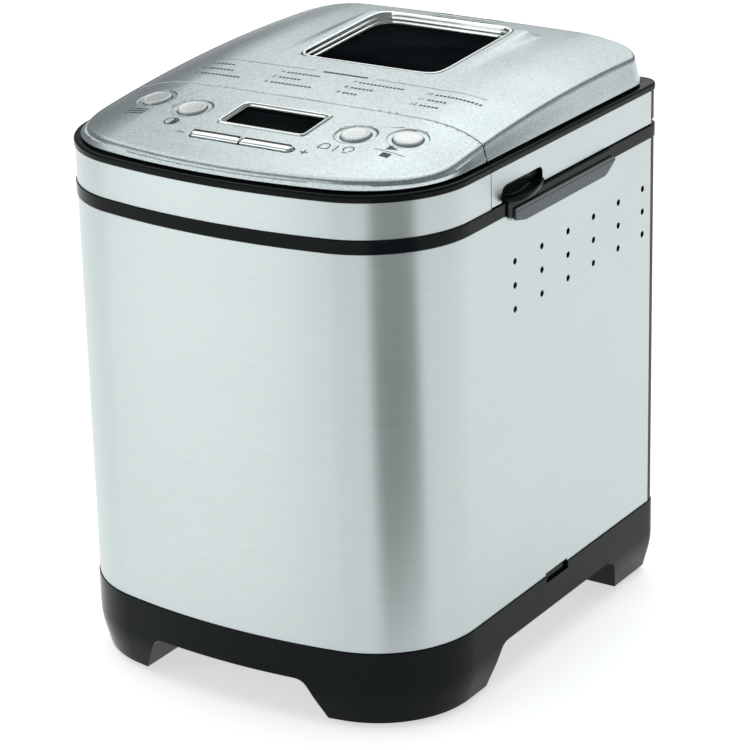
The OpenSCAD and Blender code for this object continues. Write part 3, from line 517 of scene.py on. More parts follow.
class Finish:
    """A material and its node tree."""

    def __init__(self, name, colour, roughness, metallic=0.0, **constants):
        self.material = bpy.data.materials.new(name)
        self.material.use_nodes = True
        self.tree = self.material.node_tree
        self.shader = self.tree.nodes["Principled BSDF"]
        self.set("Base Color", (*colour[:3], 1))
        self.set("Roughness", roughness)
        self.set("Metallic", metallic)
        for key, value in constants.items():
            self.set(key.replace("_", " ").title().replace("Ior", "IOR"), value)
        self.coords = None

    def set(self, name, value):
        socket = self.shader.inputs[name]
        if isinstance(value, Value):
            self.tree.links.new(value.socket, socket)
        else:
            socket.default_value = value

    def node(self, kind, settings=None, inputs=None, output=0):
        """Any node: settings first, then values or links on its sockets."""
        node = self.tree.nodes.new(kind)
        for key, value in (settings or {}).items():
            if key == "stops":
                ramp = node.color_ramp
                ramp.elements[0].position, ramp.elements[0].color = value[0]
                ramp.elements[1].position, ramp.elements[1].color = value[-1]
                for place_at, colour in value[1:-1]:
                    ramp.elements.new(place_at).color = colour
            else:
                setattr(node, key, value)
        for key, value in (inputs or {}).items():
            if isinstance(value, Value):
                self.tree.links.new(value.socket, node.inputs[key])
            else:
                node.inputs[key].default_value = value
        return Value(self, node.outputs[output])

    def at(self, scale):
        """Object coordinates stretched by a scale in each direction."""
        if self.coords is None:
            self.coords = self.node("ShaderNodeTexCoord", output="Object")
        return self.node("ShaderNodeMapping", inputs={"Vector": self.coords, "Scale": scale})

    def noise(self, scale, detail=2.0, rough=0.5):
        return self.node("ShaderNodeTexNoise", inputs={
            "Vector": self.at(scale), "Scale": 1.0, "Detail": detail, "Roughness": rough})

    def cells(self, scale, feature="F1"):
        return self.node("ShaderNodeTexVoronoi", {"feature": feature}, {
            "Vector": self.at(scale), "Scale": 1.0}, "Distance")

    def blend(self, factor, first, second):
        """Mixes two colours; either may be a plain colour."""
        settings = {"data_type": "RGBA"}
        inputs = {0: factor, 6: first if isinstance(first, Value) else (*first[:3], 1),
                  7: second if isinstance(second, Value) else (*second[:3], 1)}
        return self.node("ShaderNodeMix", settings, inputs, 2)

    def bump(self, height, distance, strength=1.0):
        self.set("Normal", self.node("ShaderNodeBump", inputs={
            "Height": height, "Distance": distance, "Strength": strength}))


def tint(colour, factor):
    return tuple(min(1.0, c * factor) for c in colour[:3])


def brushed_steel():
    """Sheet brushed along its length: fine level streaks of uneven tone."""
    colour = colours().steel
    f = Finish("brushed_steel", colour, 0.34, 1.0, anisotropic=0.85, anisotropic_rotation=0.25)
    fine = f.noise((42, 42, 4200), 2)
    broad = f.noise((11, 11, 900), 3)
    cloud = f.noise((7, 7, 9), 2)
    streak = fine * 0.55 + broad * 0.45
    tone = streak * 0.8 + cloud * 0.2
    f.set("Base Color", f.blend(tone.over(0.5, 0.5), tint(colour, 0.90), tint(colour, 1.07)))
    f.set("Roughness", streak * 0.16 + 0.27)
    f.bump(streak, 0.00003, 0.5)
    return f.material


def cover_satin():
    """Pale grained skin of the covers: fine pits with a faint weave."""
    colour = colours().cover
    f = Finish("cover_satin", colour, 0.36, 0.95)
    along = f.noise((420, 1300, 1300), 2)
    across = f.noise((1300, 420, 1300), 2)
    pits = f.noise((800, 800, 800), 3, 0.6)
    cloud = f.noise((18, 34, 30), 2)
    grain = along * 0.4 + across * 0.25 + pits * 0.35
    tone = grain * 0.9 + cloud * 0.1
    f.set("Base Color", f.blend(tone.over(0.5, 0.24), tint(colour, 0.78), tint(colour, 1.22)))
    f.set("Roughness", grain * 0.22 + 0.19)
    f.bump(grain, 0.00022, 0.8)
    return f.material


def bright_trim():
    """Polished trim with the faintest haze."""
    f = Finish("bright_trim", (0.82, 0.86, 0.85), 0.12, 1.0)
    haze = f.noise((60, 60, 60), 3)
    f.set("Roughness", haze * 0.10 + 0.07)
    f.set("Base Color", f.blend(haze.over(0.5, 0.3), (0.76, 0.80, 0.79), (0.86, 0.90, 0.89)))
    return f.material


def black_gloss():
    """Glossy black moulding with a slight ripple and dust-fine wear."""
    colour = colours().black
    f = Finish("black_gloss", colour, 0.14, specular_ior_level=0.09)
    ripple = f.noise((22, 22, 22), 2)
    wear = f.noise((700, 700, 700), 2)
    f.set("Roughness", ripple * 0.10 + wear * 0.08 + 0.09)
    f.set("Base Color", f.blend(wear.over(0.6, 0.2), colour, tint(colour, 1.3)))
    f.bump(ripple, 0.00025, 0.35)
    return f.material


def moulded(name, colour, roughness, grain=0.00007, scale=1400):
    """Spark-grained moulded plastic."""
    f = Finish(name, colour, roughness, specular_ior_level=0.2)
    skin = f.cells((scale, scale, scale))
    patch = f.noise((40, 40, 40), 3)
    f.set("Base Color", f.blend(patch.over(0.5, 0.4), tint(colour, 0.88), tint(colour, 1.16)))
    f.set("Roughness", patch * 0.12 + skin * 0.08 + (roughness - 0.08))
    f.bump(skin, grain, 0.6)
    return f.material


def grip_plastic():
    """Satin grey-green plastic of the grips, with faint flow marks."""
    colour = colours().grip
    f = Finish("grip_plastic", colour, 0.26, specular_ior_level=0.45)
    flow = f.noise((30, 6, 120), 3)
    speck = f.noise((1100, 1100, 1100), 2)
    f.set("Base Color", f.blend(flow.over(0.5, 0.4), tint(colour, 0.72), tint(colour, 1.35)))
    f.set("Roughness", flow * 0.12 + speck * 0.10 + 0.16)
    f.bump(speck, 0.00004, 0.5)
    return f.material


def rubber(name="rubber", colour=(0.022, 0.022, 0.023)):
    """Dull rubber with a powdery bloom."""
    f = Finish(name, colour, 0.72)
    bloom = f.noise((160, 160, 160), 4)
    f.set("Base Color", f.blend(bloom.over(0.55, 0.3), tint(colour, 0.8), tint(colour, 1.7)))
    f.set("Roughness", bloom * 0.2 + 0.62)
    f.bump(f.noise((900, 900, 900), 2), 0.00006, 0.5)
    return f.material


def window_glass():
    """Dark oven glass with a trace of smear."""
    f = Finish("window_glass", (0.006, 0.008, 0.009), 0.04, specular_ior_level=0.0)
    smear = f.noise((18, 40, 18), 3)
    f.set("Roughness", smear.over(0.6, 0.3) * 0.05 + 0.03)
    f.set("Base Color", f.blend(smear.over(0.5, 0.4), (0.004, 0.005, 0.006), (0.011, 0.014, 0.015)))
    f.set("Alpha", 0.985)
    return f.material


def clear_glass():
    """Inner pane, lightly clouded by steam."""
    f = Finish("clear_glass", (0.75, 0.80, 0.80), 0.08)
    cloud = f.noise((30, 30, 30), 3)
    f.set("Roughness", cloud * 0.10 + 0.03)
    f.set("Alpha", cloud * 0.10 + 0.28)
    return f.material


def lens_black():
    """Display lens: near black, with the edge of the glass a little lighter."""
    f = Finish("lens_black", (0.006, 0.008, 0.009), 0.05, specular_ior_level=0.0)
    smear = f.noise((30, 90, 30), 3)
    f.set("Roughness", smear * 0.05 + 0.03)
    f.set("Base Color", f.blend(smear.over(0.5, 0.4), (0.005, 0.006, 0.007), (0.012, 0.015, 0.016)))
    return f.material


def button_silver():
    """Pearl caps: pale satin plastic with fine flake."""
    f = Finish("button_silver", (0.74, 0.78, 0.77), 0.26, 0.35, coat_weight=0.2)
    flake = f.cells((2200, 2200, 2200))
    f.set("Base Color", f.blend(flake.over(0.4, 0.4), (0.76, 0.80, 0.79), (0.80, 0.84, 0.83)))
    f.set("Roughness", flake * 0.10 + 0.20)
    return f.material


def aluminium():
    """Drawn sheet of the oven: soft lines and heat tint."""
    f = Finish("aluminium", (0.50, 0.51, 0.50), 0.38, 1.0)
    drawn = f.noise((900, 900, 30), 3)
    heat = f.noise((12, 12, 16), 3)
    tone = f.blend(heat.over(0.55, 0.3), (0.50, 0.51, 0.51), (0.44, 0.43, 0.39))
    f.set("Base Color", tone)
    f.set("Roughness", drawn * 0.2 + 0.26)
    f.bump(drawn, 0.00005, 0.5)
    return f.material


def plated_steel():
    """Zinc plated steel with a fine spangle."""
    f = Finish("plated_steel", (0.42, 0.44, 0.44), 0.36, 1.0)
    spangle = f.cells((180, 180, 180))
    scratch = f.noise((800, 60, 800), 3)
    f.set("Base Color", f.blend(spangle.over(0.4, 0.5), (0.36, 0.38, 0.38), (0.49, 0.51, 0.51)))
    f.set("Roughness", scratch * 0.24 + 0.24)
    f.bump(scratch, 0.00004, 0.4)
    return f.material


def nonstick():
    """Speckled dark non-stick coating."""
    f = Finish("nonstick", (0.045, 0.047, 0.050), 0.42, 0.15)
    speck = f.noise((1300, 1300, 1300), 2)
    f.set("Base Color", f.blend(speck.over(0.66, 0.06), (0.040, 0.042, 0.045), (0.20, 0.21, 0.22)))
    f.set("Roughness", speck * 0.2 + 0.32)
    f.bump(speck, 0.00004, 0.5)
    return f.material


def element_sheath():
    """Heated sheath with oxide colours."""
    f = Finish("element_sheath", (0.12, 0.10, 0.09), 0.5, 0.8)
    oxide = f.noise((60, 60, 60), 4)
    f.set("Base Color", f.blend(oxide.over(0.5, 0.4), (0.07, 0.065, 0.065), (0.20, 0.16, 0.13)))
    f.set("Roughness", oxide * 0.3 + 0.34)
    return f.material


def bronze():
    """Sintered bronze with open pores."""
    f = Finish("bronze", (0.50, 0.33, 0.15), 0.42, 1.0)
    pore = f.cells((1500, 1500, 1500))
    f.set("Base Color", f.blend(pore.over(0.3, 0.3), (0.26, 0.17, 0.08), (0.55, 0.37, 0.17)))
    f.set("Roughness", pore * 0.2 + 0.32)
    f.bump(pore, 0.00004, 0.5)
    return f.material


def board_green():
    """Solder mask over copper tracks."""
    f = Finish("board_green", (0.02, 0.13, 0.06), 0.32)
    tracks = f.node("ShaderNodeTexBrick", inputs={
        "Vector": f.at((260, 260, 260)), "Scale": 1.0, "Mortar Size": 0.06}, output="Fac")
    mottle = f.noise((300, 300, 300), 2)
    f.set("Base Color", f.blend(tracks, (0.02, 0.13, 0.06), (0.05, 0.26, 0.11)))
    f.set("Roughness", mottle * 0.2 + 0.22)
    f.bump(tracks, 0.00005, 0.6)
    return f.material


def ink():
    """Pad-printed ink, slightly uneven."""
    colour = colours().ink
    f = Finish("ink", colour, 0.45)
    patch = f.noise((900, 900, 900), 2)
    f.set("Base Color", f.blend(patch.over(0.5, 0.3), tint(colour, 0.8), tint(colour, 1.6)))
    f.set("Roughness", patch * 0.2 + 0.36)
    return f.material


MAKERS = {
    "brushed_steel": brushed_steel,
    "cover_satin": cover_satin,
    "bright_trim": bright_trim,
    "black_gloss": black_gloss,
    "black_matte": lambda: moulded("black_matte", (0.026, 0.028, 0.030), 0.46),
    "grip_plastic": grip_plastic,
    "rubber": rubber,
    "seal_rubber": lambda: rubber("seal_rubber", (0.36, 0.35, 0.32)),
    "window_glass": window_glass,
    "clear_glass": clear_glass,
    "lens_black": lens_black,
    "button_silver": button_silver,
    "aluminium": aluminium,
    "plated_steel": plated_steel,
    "nonstick": nonstick,
    "element_sheath": element_sheath,
    "bronze": bronze,
    "board_green": board_green,
    "cap_white": lambda: moulded("cap_white", (0.62, 0.65, 0.64), 0.34),
    "ink": ink,
}
FINISHES = {}


def finish_of(name):
    """The material of a finish, made the first time it is asked for."""
    if name not in FINISHES:
        FINISHES[name] = MAKERS[name]()
    return FINISHES[name]


def done(obj, body, finish, replaces=(), angle=32):
    """Smooths, colours and fixes a finished piece to its body."""
    if not obj.data.polygons:
        raise ValueError(obj.name + " has no faces")
    if angle:
        smooth(obj, angle)
        modify(obj, "WEIGHTED_NORMAL", keep_sharp=True, weight=80)
    obj.data.materials.clear()
    obj.data.materials.append(finish_of(finish))
    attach(obj, body)
    if replaces:
        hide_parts(*replaces)
    deselect()
    return obj


# ---- case ---------------------------------------------------------------

def arch_cutter(name, half, slope, roof, along_x, centre):
    """A long trapezoid with rounded roof corners, through the base."""
    bottom = -0.01
    grow = slope * (roof - bottom) / roof
    corner = 0.006
    profile = rounded([(-half - grow, bottom, 0), (half + grow, bottom, 0), (half, roof, corner),
                       (-half, roof, corner)], 5)
    reach = 0.2
    if along_x:
        rows = [[(x, centre + u, v) for u, v in profile] for x in (-reach, reach)]
    else:
        rows = [[(centre + u, y, v) for u, v in profile] for y in (-reach, reach)]
    return loft(name, rows, cap_first=True, cap_last=True)


def make_base():
    """Black base: drawn-in feet between four arches."""
    wall = 0.0026
    floor_top = 0.031
    shape = [(0.0052, Z_FOOT), (0.0046, Z_FOOT + 0.0008), (0.0036, 0.008), (0.0022, 0.013), (0.0010, 0.018),
             (0.0002, 0.023), (0.0, 0.027), (0.0, Z_BASE - 0.0008), (0.0003, Z_BASE - 0.0002), (0.0008,
                                                                                                Z_BASE),
             (wall, Z_BASE), (wall, floor_top)]
    rows = [[(x, y, z) for x, y in outline(ins)] for ins, z in shape]
    base = loft("base_moulding", rows, cap_first=True, cap_last=True)
    cut(base, arch_cutter("cut_front", 0.0525, 0.014, 0.0275, False, 0.0))
    cut(base, arch_cutter("cut_side", 0.067, 0.014, 0.0275, True, 0.021))
    for side in (-1, 1):
        x = side * (HALF_W - 0.0006)
        cut(base, box("cut_clip", (x - 0.0014, 0.0055, Z_BASE - 0.0045),
                      (x + 0.0014, 0.0315, Z_BASE + 0.002)))
    done(base, "case", "black_gloss", ["base"], angle=35)


def make_wrap():
    """Brushed steel wrap with three rows of vents on each side."""
    size = case()
    wrap = rim_ring("steel_wrap",
                    strip(size.steel_inset, size.steel_inset + size.sheet, Z_BASE, Z_RIM, 0.0004))
    keep_side(wrap, (0, WRAP_END, 0), (0, 1, 0))
    drills = []
    for column in range(6):
        for row in range(3):
            y = HALF_D - 0.1763 + 0.0306 * column
            z = Z_RIM - 0.0296 - 0.0144 * row
            turn = Matrix.Translation((0, y, z)) @ Matrix.Rotation(math.pi / 2, 4, "Y")
            drills.append(cylinder("drill", 0.002, 0.3, turn, 24))
    cut(wrap, join("drills", drills))
    notches = [box("notch", (s * HALF_W - 0.003, 0.0055, Z_BASE - 0.001),
                   (s * HALF_W + 0.003, 0.0315, Z_BASE + 0.0018))
               for s in (-1, 1)]
    cut(wrap, join("notches", notches))
    done(wrap, "case", "brushed_steel", ["body_wrap"])


def make_rear_panel():
    """Moulded rear panel with louvres, a raised border and sunk screws."""
    size = case()
    panel = rim_ring("rear_moulding",
                     strip(size.steel_inset, size.steel_inset + size.plastic, Z_BASE, Z_RIM, 0.0004))
    keep_side(panel, (0, WRAP_END + 0.0002, 0), (0, -1, 0))
    face = HALF_D - size.steel_inset
    tools = []
    for k in range(8):
        z = Z_BASE + 0.0315 + 0.009 * k
        tools.append(box("louvre", (-0.05, face - 0.008, z - 0.0015), (0.05, face + 0.004, z + 0.0015),
                         0.0012))
    tools.append(box("field", (-0.095, face - 0.0005, Z_BASE + 0.118), (0.095, face + 0.004, Z_RIM - 0.03),
                     0.0))
    low, high = node_box("cord_gland")
    middle = (low + high) / 2
    turn = Matrix.Translation((middle.x, face - 0.002, middle.z)) @ Matrix.Rotation(math.pi / 2, 4, "X")
    tools.append(cylinder("gland_hole", 0.008, 0.02, turn, 48))
    for tool in tools:
        cut(panel, tool)
    done(panel, "case", "black_matte", ["rear_panel"])


def make_rim():
    """Glossy lower rim with the deck round the oven's mouth."""
    profile = [(0.0, Z_RIM, 0.0008), (0.0034, Z_RIM, 0), (0.0034, Z_DECK - 0.003, 0),
               (0.012, Z_DECK - 0.003, 0),
               (0.012, Z_DECK, 0), (0.0, Z_DECK, 0.0008)]
    rim = rim_ring("lower_rim", rounded(profile))
    deck = slab("deck", outline(0.0119), Z_DECK - 0.003, Z_DECK)
    mouth = squircle_loop(CHAMBER_HIGH.x, (CHAMBER_HIGH.y - CHAMBER_LOW.y) / 2, 9, 120, 0, PAN_Y)
    cut(deck, slab("mouth", mouth, Z_DECK - 0.01, Z_DECK + 0.01))
    rim = join("lower_rim", [rim, deck])
    done(rim, "case", "black_gloss", ["rim_frame"])


def make_grips():
    """Finger grips: a black core, and a satin face with chamfered ends and a parting line."""
    for node, side in (("grip_left", -1), ("grip_right", 1)):
        low, high = node_box(node)
        inner = HALF_W - case().steel_inset
        face = HALF_W + 0.0026
        y0, y1 = low.y, high.y
        z0, z1 = low.z, Z_DECK - 0.0004
        corner = 0.0025
        profile = rounded([(y0, Z_RIM - 0.0006, 0.001), (y0 + 0.0165, z0 + 0.0002, corner),
                           (y1 - 0.0120, z0 + 0.0002, corner), (y1 - 0.0002, Z_RIM, corner),
                           (y1 - 0.0002, z1 - 0.0026, 0.001), (y1 - 0.004, z1, 0.001), (y0, z1, 0.001)], 4)
        core = side_slab("grip_core", profile, side * inner, side * (HALF_W + 0.0012), 0.0005)
        profile = rounded([(y0 + 0.0064, Z_RIM - 0.0040, 0.001), (y0 + 0.0175, z0, corner),
                           (y1 - 0.0115, z0, corner), (y1, Z_RIM, 0.0006), (y1, z1 - 0.0062, 0.0004),
                           (y1 - 0.003, z1 - 0.0044, 0.0008), (y0 + 0.0064, z1 - 0.0044, 0.001)], 4)
        plate = side_slab("grip_plate", profile, side * (HALF_W + 0.0006), side * face, 0.0006)
        cut(plate, box("line", (side * face - 0.0005, y0, Z_RIM + 0.0009),
                       (side * face + 0.0005, y1 + 0.01, Z_RIM + 0.0012)))
        for piece in (core, plate):
            cut(piece, box("rebate", (side * (HALF_W - 0.003) - 0.003, y0 - 0.01, Z_RIM),
                           (side * (HALF_W - 0.003) + 0.003, y1 + 0.01, Z_DECK + 0.01)))
        label = "left" if side < 0 else "right"
        core.name = "grip_core_" + label
        plate.name = "grip_face_" + label
        done(core, "case", "black_gloss", [node])
        # Painted reflection: the face gets a grey-green where the black grip reflects light.
        done(plate, "case", "grip_plastic")


def make_feet():
    """Rubber feet, dished underneath."""
    feet = []
    low, high = node_box("rubber_feet")
    radius = 0.009
    for x in (low.x + radius, high.x - radius):
        for y in (low.y + radius, high.y - radius):
            profile = [(0.0045, 0.0012), (0.0055, 0.0002), (0.0062, 0.0), (0.0078, 0.0), (0.0086, 0.0006),
                       (radius, 0.0018), (radius, Z_FOOT)]
            feet.append(turned("foot", profile, Matrix.Translation((x, y, 0)), 40))
    done(join("feet_moulded", feet), "case", "rubber", ["rubber_feet"])


# ---- bands and rings ----------------------------------------------------

def pocket_outline(grow=0.0):
    """The finger pocket in the lid's band: rounded upper corners."""
    low, high = node_box("lid_tabs")
    y0, y1 = low.y + 0.002 - grow, high.y - 0.002 + grow
    z1 = Z_LID + 0.0096 + grow
    return rounded([(y0, Z_LID - 0.004, 0), (y1, Z_LID - 0.004, 0), (y1, z1, 0.0045), (y0, z1, 0.0065)], 8)


def make_bands():
    """Steel bands of the fixed panel and of the lid."""
    size = case()
    front = rim_ring("panel_band_steel",
                     strip(size.steel_inset, size.steel_inset + size.sheet, Z_DECK, Z_RING, 0.0004))
    keep_side(front, (0, SEAM_SIDE, 0), (0, 1, 0))
    done(front, "case", "brushed_steel", ["panel_band"])
    band = rim_ring("lid_band_steel",
                    strip(size.steel_inset, size.steel_inset + size.sheet, Z_LID, Z_RING, 0.0004))
    keep_side(band, (0, SEAM_SIDE + LID_GAP, 0), (0, -1, 0))
    keep_side(band, (0, WRAP_END, 0), (0, 1, 0))
    for side in (-1, 1):
        cut(band, side_slab("pocket", pocket_outline(), side * (HALF_W - 0.01), side * (HALF_W + 0.01)))
    done(band, "lid", "brushed_steel", ["lid_band"])


def ring_profile(low):
    """Cross-section of the upper ring with the wall that carries the band."""
    size = case()
    wall = size.steel_inset + size.sheet + 0.0001
    return rounded([(0.0, Z_RING, 0.0006), (wall, Z_RING, 0), (wall, low, 0), (wall + size.plastic, low, 0),
                    (wall + size.plastic, Z_COVER - 0.002, 0), (0.0082, Z_COVER - 0.002, 0), (0.0082,
                                                                                              Z_COVER, 0),
                    (0.0, Z_COVER, 0.0016)], 4)


def seam_wall(name, y_offset, thickness, z0, sink):
    """Wall along the seam, its top following under the covers."""
    xs = [(-0.1215 + 0.243 * k / 80) for k in range(81)]
    near = [(x, seam(x) + y_offset) for x in xs]
    far = [(x, seam(x) + y_offset + thickness) for x in reversed(xs)]
    loop = near + far
    rows = [[(x, y, z0) for x, y in loop], [(x, y, crown(x, y) - sink) for x, y in loop]]
    return loft(name, rows, cap_first=True, cap_last=True)


def make_rings():
    """Black upper ring and frames of the panel and the lid."""
    size = case()
    front = rim_ring("panel_ring", ring_profile(Z_DECK))
    keep_side(front, (0, SEAM_SIDE, 0), (0, 1, 0))
    wall = seam_wall("panel_back", -0.0024, 0.0022, Z_DECK, 0.0030)
    done(join("panel_ring", [front, wall]), "case", "black_gloss", ["panel_frame"])

    ring = rim_ring("lid_ring", ring_profile(Z_LID))
    keep_side(ring, (0, SEAM_SIDE + LID_GAP, 0), (0, -1, 0))
    back = rim_ring("lid_back",
                    strip(size.steel_inset, size.steel_inset + 0.002, Z_LID + 0.0024, Z_RING, 0.0003))
    keep_side(back, (0, WRAP_END + 0.0002, 0), (0, -1, 0))
    hinge_low, hinge_high = node_box("hinge_brackets")
    for piece in (ring, back):
        for side in (-1, 1):
            low = (min(side * 0.053, side * 0.087), hinge_low.y - 0.004, Z_LID - 0.002)
            high = (max(side * 0.053, side * 0.087), HALF_D + 0.01, hinge_high.z + 0.0045)
            cut(piece, box("notch", low, high))
    for side in (-1, 1):
        cut(ring, side_slab("pocket", pocket_outline(), side * (HALF_W - 0.006), side * (HALF_W + 0.01)))
    cut(ring, box("relief", (-0.2, hinge_low.y - 0.001, Z_LID - 0.002), (0.2, HALF_D + 0.01, Z_LID + 0.0024)))
    floor_outline = [p for p in outline(size.steel_inset + size.sheet + size.plastic)]
    floor = slab("lid_floor", floor_outline, Z_LID, Z_LID + 0.002)
    keep_side(floor, (0, SEAM_SIDE + LID_GAP + 0.009, 0), (0, -1, 0))
    keep_side(floor, (0, hinge_low.y - 0.0012, 0), (0, 1, 0))
    plate_low, plate_high = node_box("lid_seal")
    mouth = squircle_loop(plate_high.x + 0.0003, (plate_high.y - plate_low.y) / 2 + 0.0003, 9, 120, 0, PAN_Y)
    cut(floor, slab("mouth", mouth, Z_LID - 0.01, Z_LID + 0.01))
    nose = seam_wall("lid_nose", LID_GAP + 0.0002, 0.0022, Z_LID, 0.0030)
    done(join("lid_ring", [ring, back, floor, nose]), "lid", "black_gloss", ["lid_frame"])


def make_tabs():
    """Lifting tabs: a black wing in each pocket, and the pocket's back wall."""
    y0 = node_box("lid_tabs")[0].y + 0.002
    z0 = Z_LID + 0.0003
    wings = []
    walls = []
    for side in (-1, 1):
        inner = HALF_W - 0.005
        shape = [(inner, y0 + 0.0012), (inner + 0.0062, y0 + 0.0012), (inner + 0.0105, y0 + 0.0030),
                 (inner + 0.0134, y0 + 0.0075), (inner + 0.0140, y0 + 0.015), (inner + 0.0130, y0 + 0.024),
                 (inner + 0.0105, y0 + 0.034), (inner + 0.0062, y0 + 0.0448), (inner, y0 + 0.0448)]
        wings.append(slab("wing", [(side * x, y) for x, y in shape], z0, z0 + 0.0030, 0.0009, 3))
        lip = [(inner, y0 + 0.0012), (inner + 0.005, y0 + 0.0012), (inner + 0.0085, y0 + 0.0040),
               (inner + 0.0092, y0 + 0.014), (inner + 0.0060, y0 + 0.028), (inner, y0 + 0.036)]
        wings.append(slab("lip", [(side * x, y) for x, y in lip], z0 + 0.0028, z0 + 0.0048, 0.0009, 3))
        walls.append(side_slab("wall", pocket_outline(0.001), side * (inner - 0.0014), side * inner))
    done(join("lid_wings", wings), "lid", "black_gloss", ["lid_tabs"])
    for wall in walls:
        keep_side(wall, (0, 0, z0), (0, 0, -1))
    # Painted reflection: the back walls get the grips' grey-green, lighter than the black moulding round
    # them.
    done(join("pocket_walls", walls), "lid", "grip_plastic")


# ---- covers -------------------------------------------------------------

def cover_skin(name, hole, centre, rows_in):
    """Crowned top over the whole case, closed as a wall, with one opening."""
    size = covers()
    wall = 0.0016
    z_low = Z_COVER + 0.0014
    radius = size.edge_radius

    def plan(ins):
        return outline(ins, 3, case().cover_corner)

    top_edge = plan(size.step + size.lean + radius)
    crowns = [crown(x, y) - radius for x, y in top_edge]
    rows = []
    under = []
    for t in (0.0, 0.33, 0.67, 1.0):
        row = plan(size.step + size.lean * t)
        rows.append([(x, y, z_low + (z - z_low) * t) for (x, y), z in zip(row, crowns)])
        row = plan(size.step + size.lean * t + wall)
        under.append([(x, y, z_low + (z - z_low) * t) for (x, y), z in zip(row, crowns)])
    for degrees in (15, 30, 45, 60, 75, 90):
        a = math.radians(degrees)
        row = plan(size.step + size.lean + radius * (1 - math.cos(a)))
        rows.append([(x, y, z + radius * math.sin(a)) for (x, y), z in zip(row, crowns)])
    for reach in (0.0008, 0.002, 0.004):
        row = plan(size.step + size.lean + radius + reach)
        rows.append([(x, y, crown(x, y)) for x, y in row])
    ends = [(x, y) for x, y, z in rows[-1]]
    for step in range(1, rows_in + 1):
        row = []
        for x, y in ends:
            angle = math.atan2(y - centre[1], x - centre[0])
            reach = squircle(angle, *hole)
            px = x + (centre[0] + reach * math.cos(angle) - x) * step / rows_in
            py = y + (centre[1] + reach * math.sin(angle) - y) * step / rows_in
            row.append((px, py, crown(px, py)))
        rows.append(row)
    under += [[(x, y, z - wall) for x, y, z in row] for row in rows[9:]]
    return loft(name, rows + under[::-1], ring=True)


def cut_seam(skin, behind, gap):
    """Cuts a cover along the seam, keeping what lies ahead of it or behind it, and softens the cut."""
    far = -0.3 if behind else 0.3
    xs = [-0.2, -0.13] + [-0.1246 + 0.2492 * k / 160 for k in range(161)] + [0.13, 0.2]
    loop = [(x, seam(x) + gap) for x in xs] + [(0.2, far), (-0.2, far)]
    cut(skin, slab("seam_cut", loop, 0.2, 0.5))


def soften_edges(skin, width):
    """Cleans up after cuts and rounds every sharp edge a little."""
    in_edit(skin, lambda: bpy.ops.mesh.remove_doubles(threshold=0.00012))
    outward(skin)
    modify(skin, "BEVEL", width=width, segments=2, limit_method="ANGLE", angle_limit=math.radians(48),
           use_clamp_overlap=False, harden_normals=False)


LCD_LOW, LCD_HIGH = node_box("lcd_bezel")
LCD_Y = (LCD_LOW.y + LCD_HIGH.y) / 2
LCD_HALF = LCD_HIGH.x
LCD_HALF_LEN = (LCD_HIGH.y - LCD_LOW.y) / 2 - 0.0004
LCD_POWER = 22


def spot(name):
    """Plan centre of a control."""
    low, high = node_box(name)
    return (low.x + high.x) / 2, (low.y + high.y) / 2 + 0.0006


def stadium(x0, x1, half, open_end):
    """Outline of a bar with a round outer end; open_end is the square one."""
    out_x = x1 if open_end < 0 else x0
    sign = 1 if out_x == x1 else -1
    points = [(out_x - sign * half + sign * half * math.sin(math.pi * k / 16),
               -half * math.cos(math.pi * k / 16))
              for k in range(17)]
    inner = x0 if out_x == x1 else x1
    loop = points + [(inner, half), (inner, -half)]
    return loop if sign > 0 else loop[::-1]


def make_panel_cover():
    """Cover of the fixed panel, with dishes, holes, the bar slot and the display opening."""
    skin = cover_skin("panel_skin", (LCD_HALF, LCD_HALF_LEN, LCD_POWER), (0.0, LCD_Y), 60)
    cut_seam(skin, False, 0.0)
    for name in BUTTONS:
        x, y = spot(name)
        at = on_crown(x, y)
        dish = turned("dish", [(0.0117, -0.0009), (covers().dish_radius, -0.0002),
                               (covers().dish_radius + 0.0002, 0.003)], at, 72)
        cut(skin, dish)
        cut(skin, cylinder("hole", 0.0090, 0.02, at, 64))
    left = node_box("bar_minus")
    y = (left[0].y + left[1].y) / 2 + 0.0006
    reach = -left[0].x + 0.0006
    slot = slab("slot", [(px, py) for px, py in stadium(-reach, reach, 0.0040, -1)][:-2]
                + [(-px, -py) for px, py in stadium(-reach, reach, 0.0040, -1)][:-2], -0.01, 0.01)
    place(slot, on_crown(0, y))
    cut(skin, slot)
    soften_edges(skin, 0.0006)
    done(skin, "case", "cover_satin", ["panel_cover"], angle=28)


def make_lid_cover():
    """Crowned lid cover with the window's raised field and the steam slots."""
    hole = (WINDOW_HALF + 0.003, WINDOW_LEN / 2 + 0.003, WINDOW_POWER)
    skin = cover_skin("lid_skin", hole, (0.0, WINDOW_Y), 60)
    cut_seam(skin, True, LID_GAP)
    for k in (-1, 0, 1):
        y = HALF_D - 0.0155 + 0.0048 * k
        slot = slab("steam", squircle_loop(0.0225, 0.0010, 6, 48), -0.006, 0.006)
        place(slot, on_crown(0, y))
        cut(skin, slot)
    soften_edges(skin, 0.0005)
    done(skin, "lid", "cover_satin", ["lid_cover"], angle=28)


# ---- window and controls ------------------------------------------------

def window_place():
    """The window's place: on the sloping field, Z square to it."""
    y1 = PLATEAU_REAR - 0.006
    tilt = math.atan2(plateau_plane(y1) - plateau_plane(PLATEAU_FRONT), y1 - PLATEAU_FRONT)
    return Matrix.Translation((0, WINDOW_Y, plateau_plane(WINDOW_Y))) @ Matrix.Rotation(tilt, 4, "X")


def stepped_frame(name, a, b, power, steps, matrix, count=144):
    """Frame that steps down inwards: (inset, depth) points from the outer top edge."""
    rows = []
    for ins, depth in steps:
        loop = []
        for k in range(count):
            angle = 2 * math.pi * k / count
            angle = math.atan2(b * math.sin(angle), a * math.cos(angle))
            reach = squircle(angle, a - ins, b - ins, power)
            loop.append((reach * math.cos(angle), reach * math.sin(angle), depth))
        rows.append(loop)
    obj = loft(name, rows, ring=True)
    place(obj, matrix)
    return obj


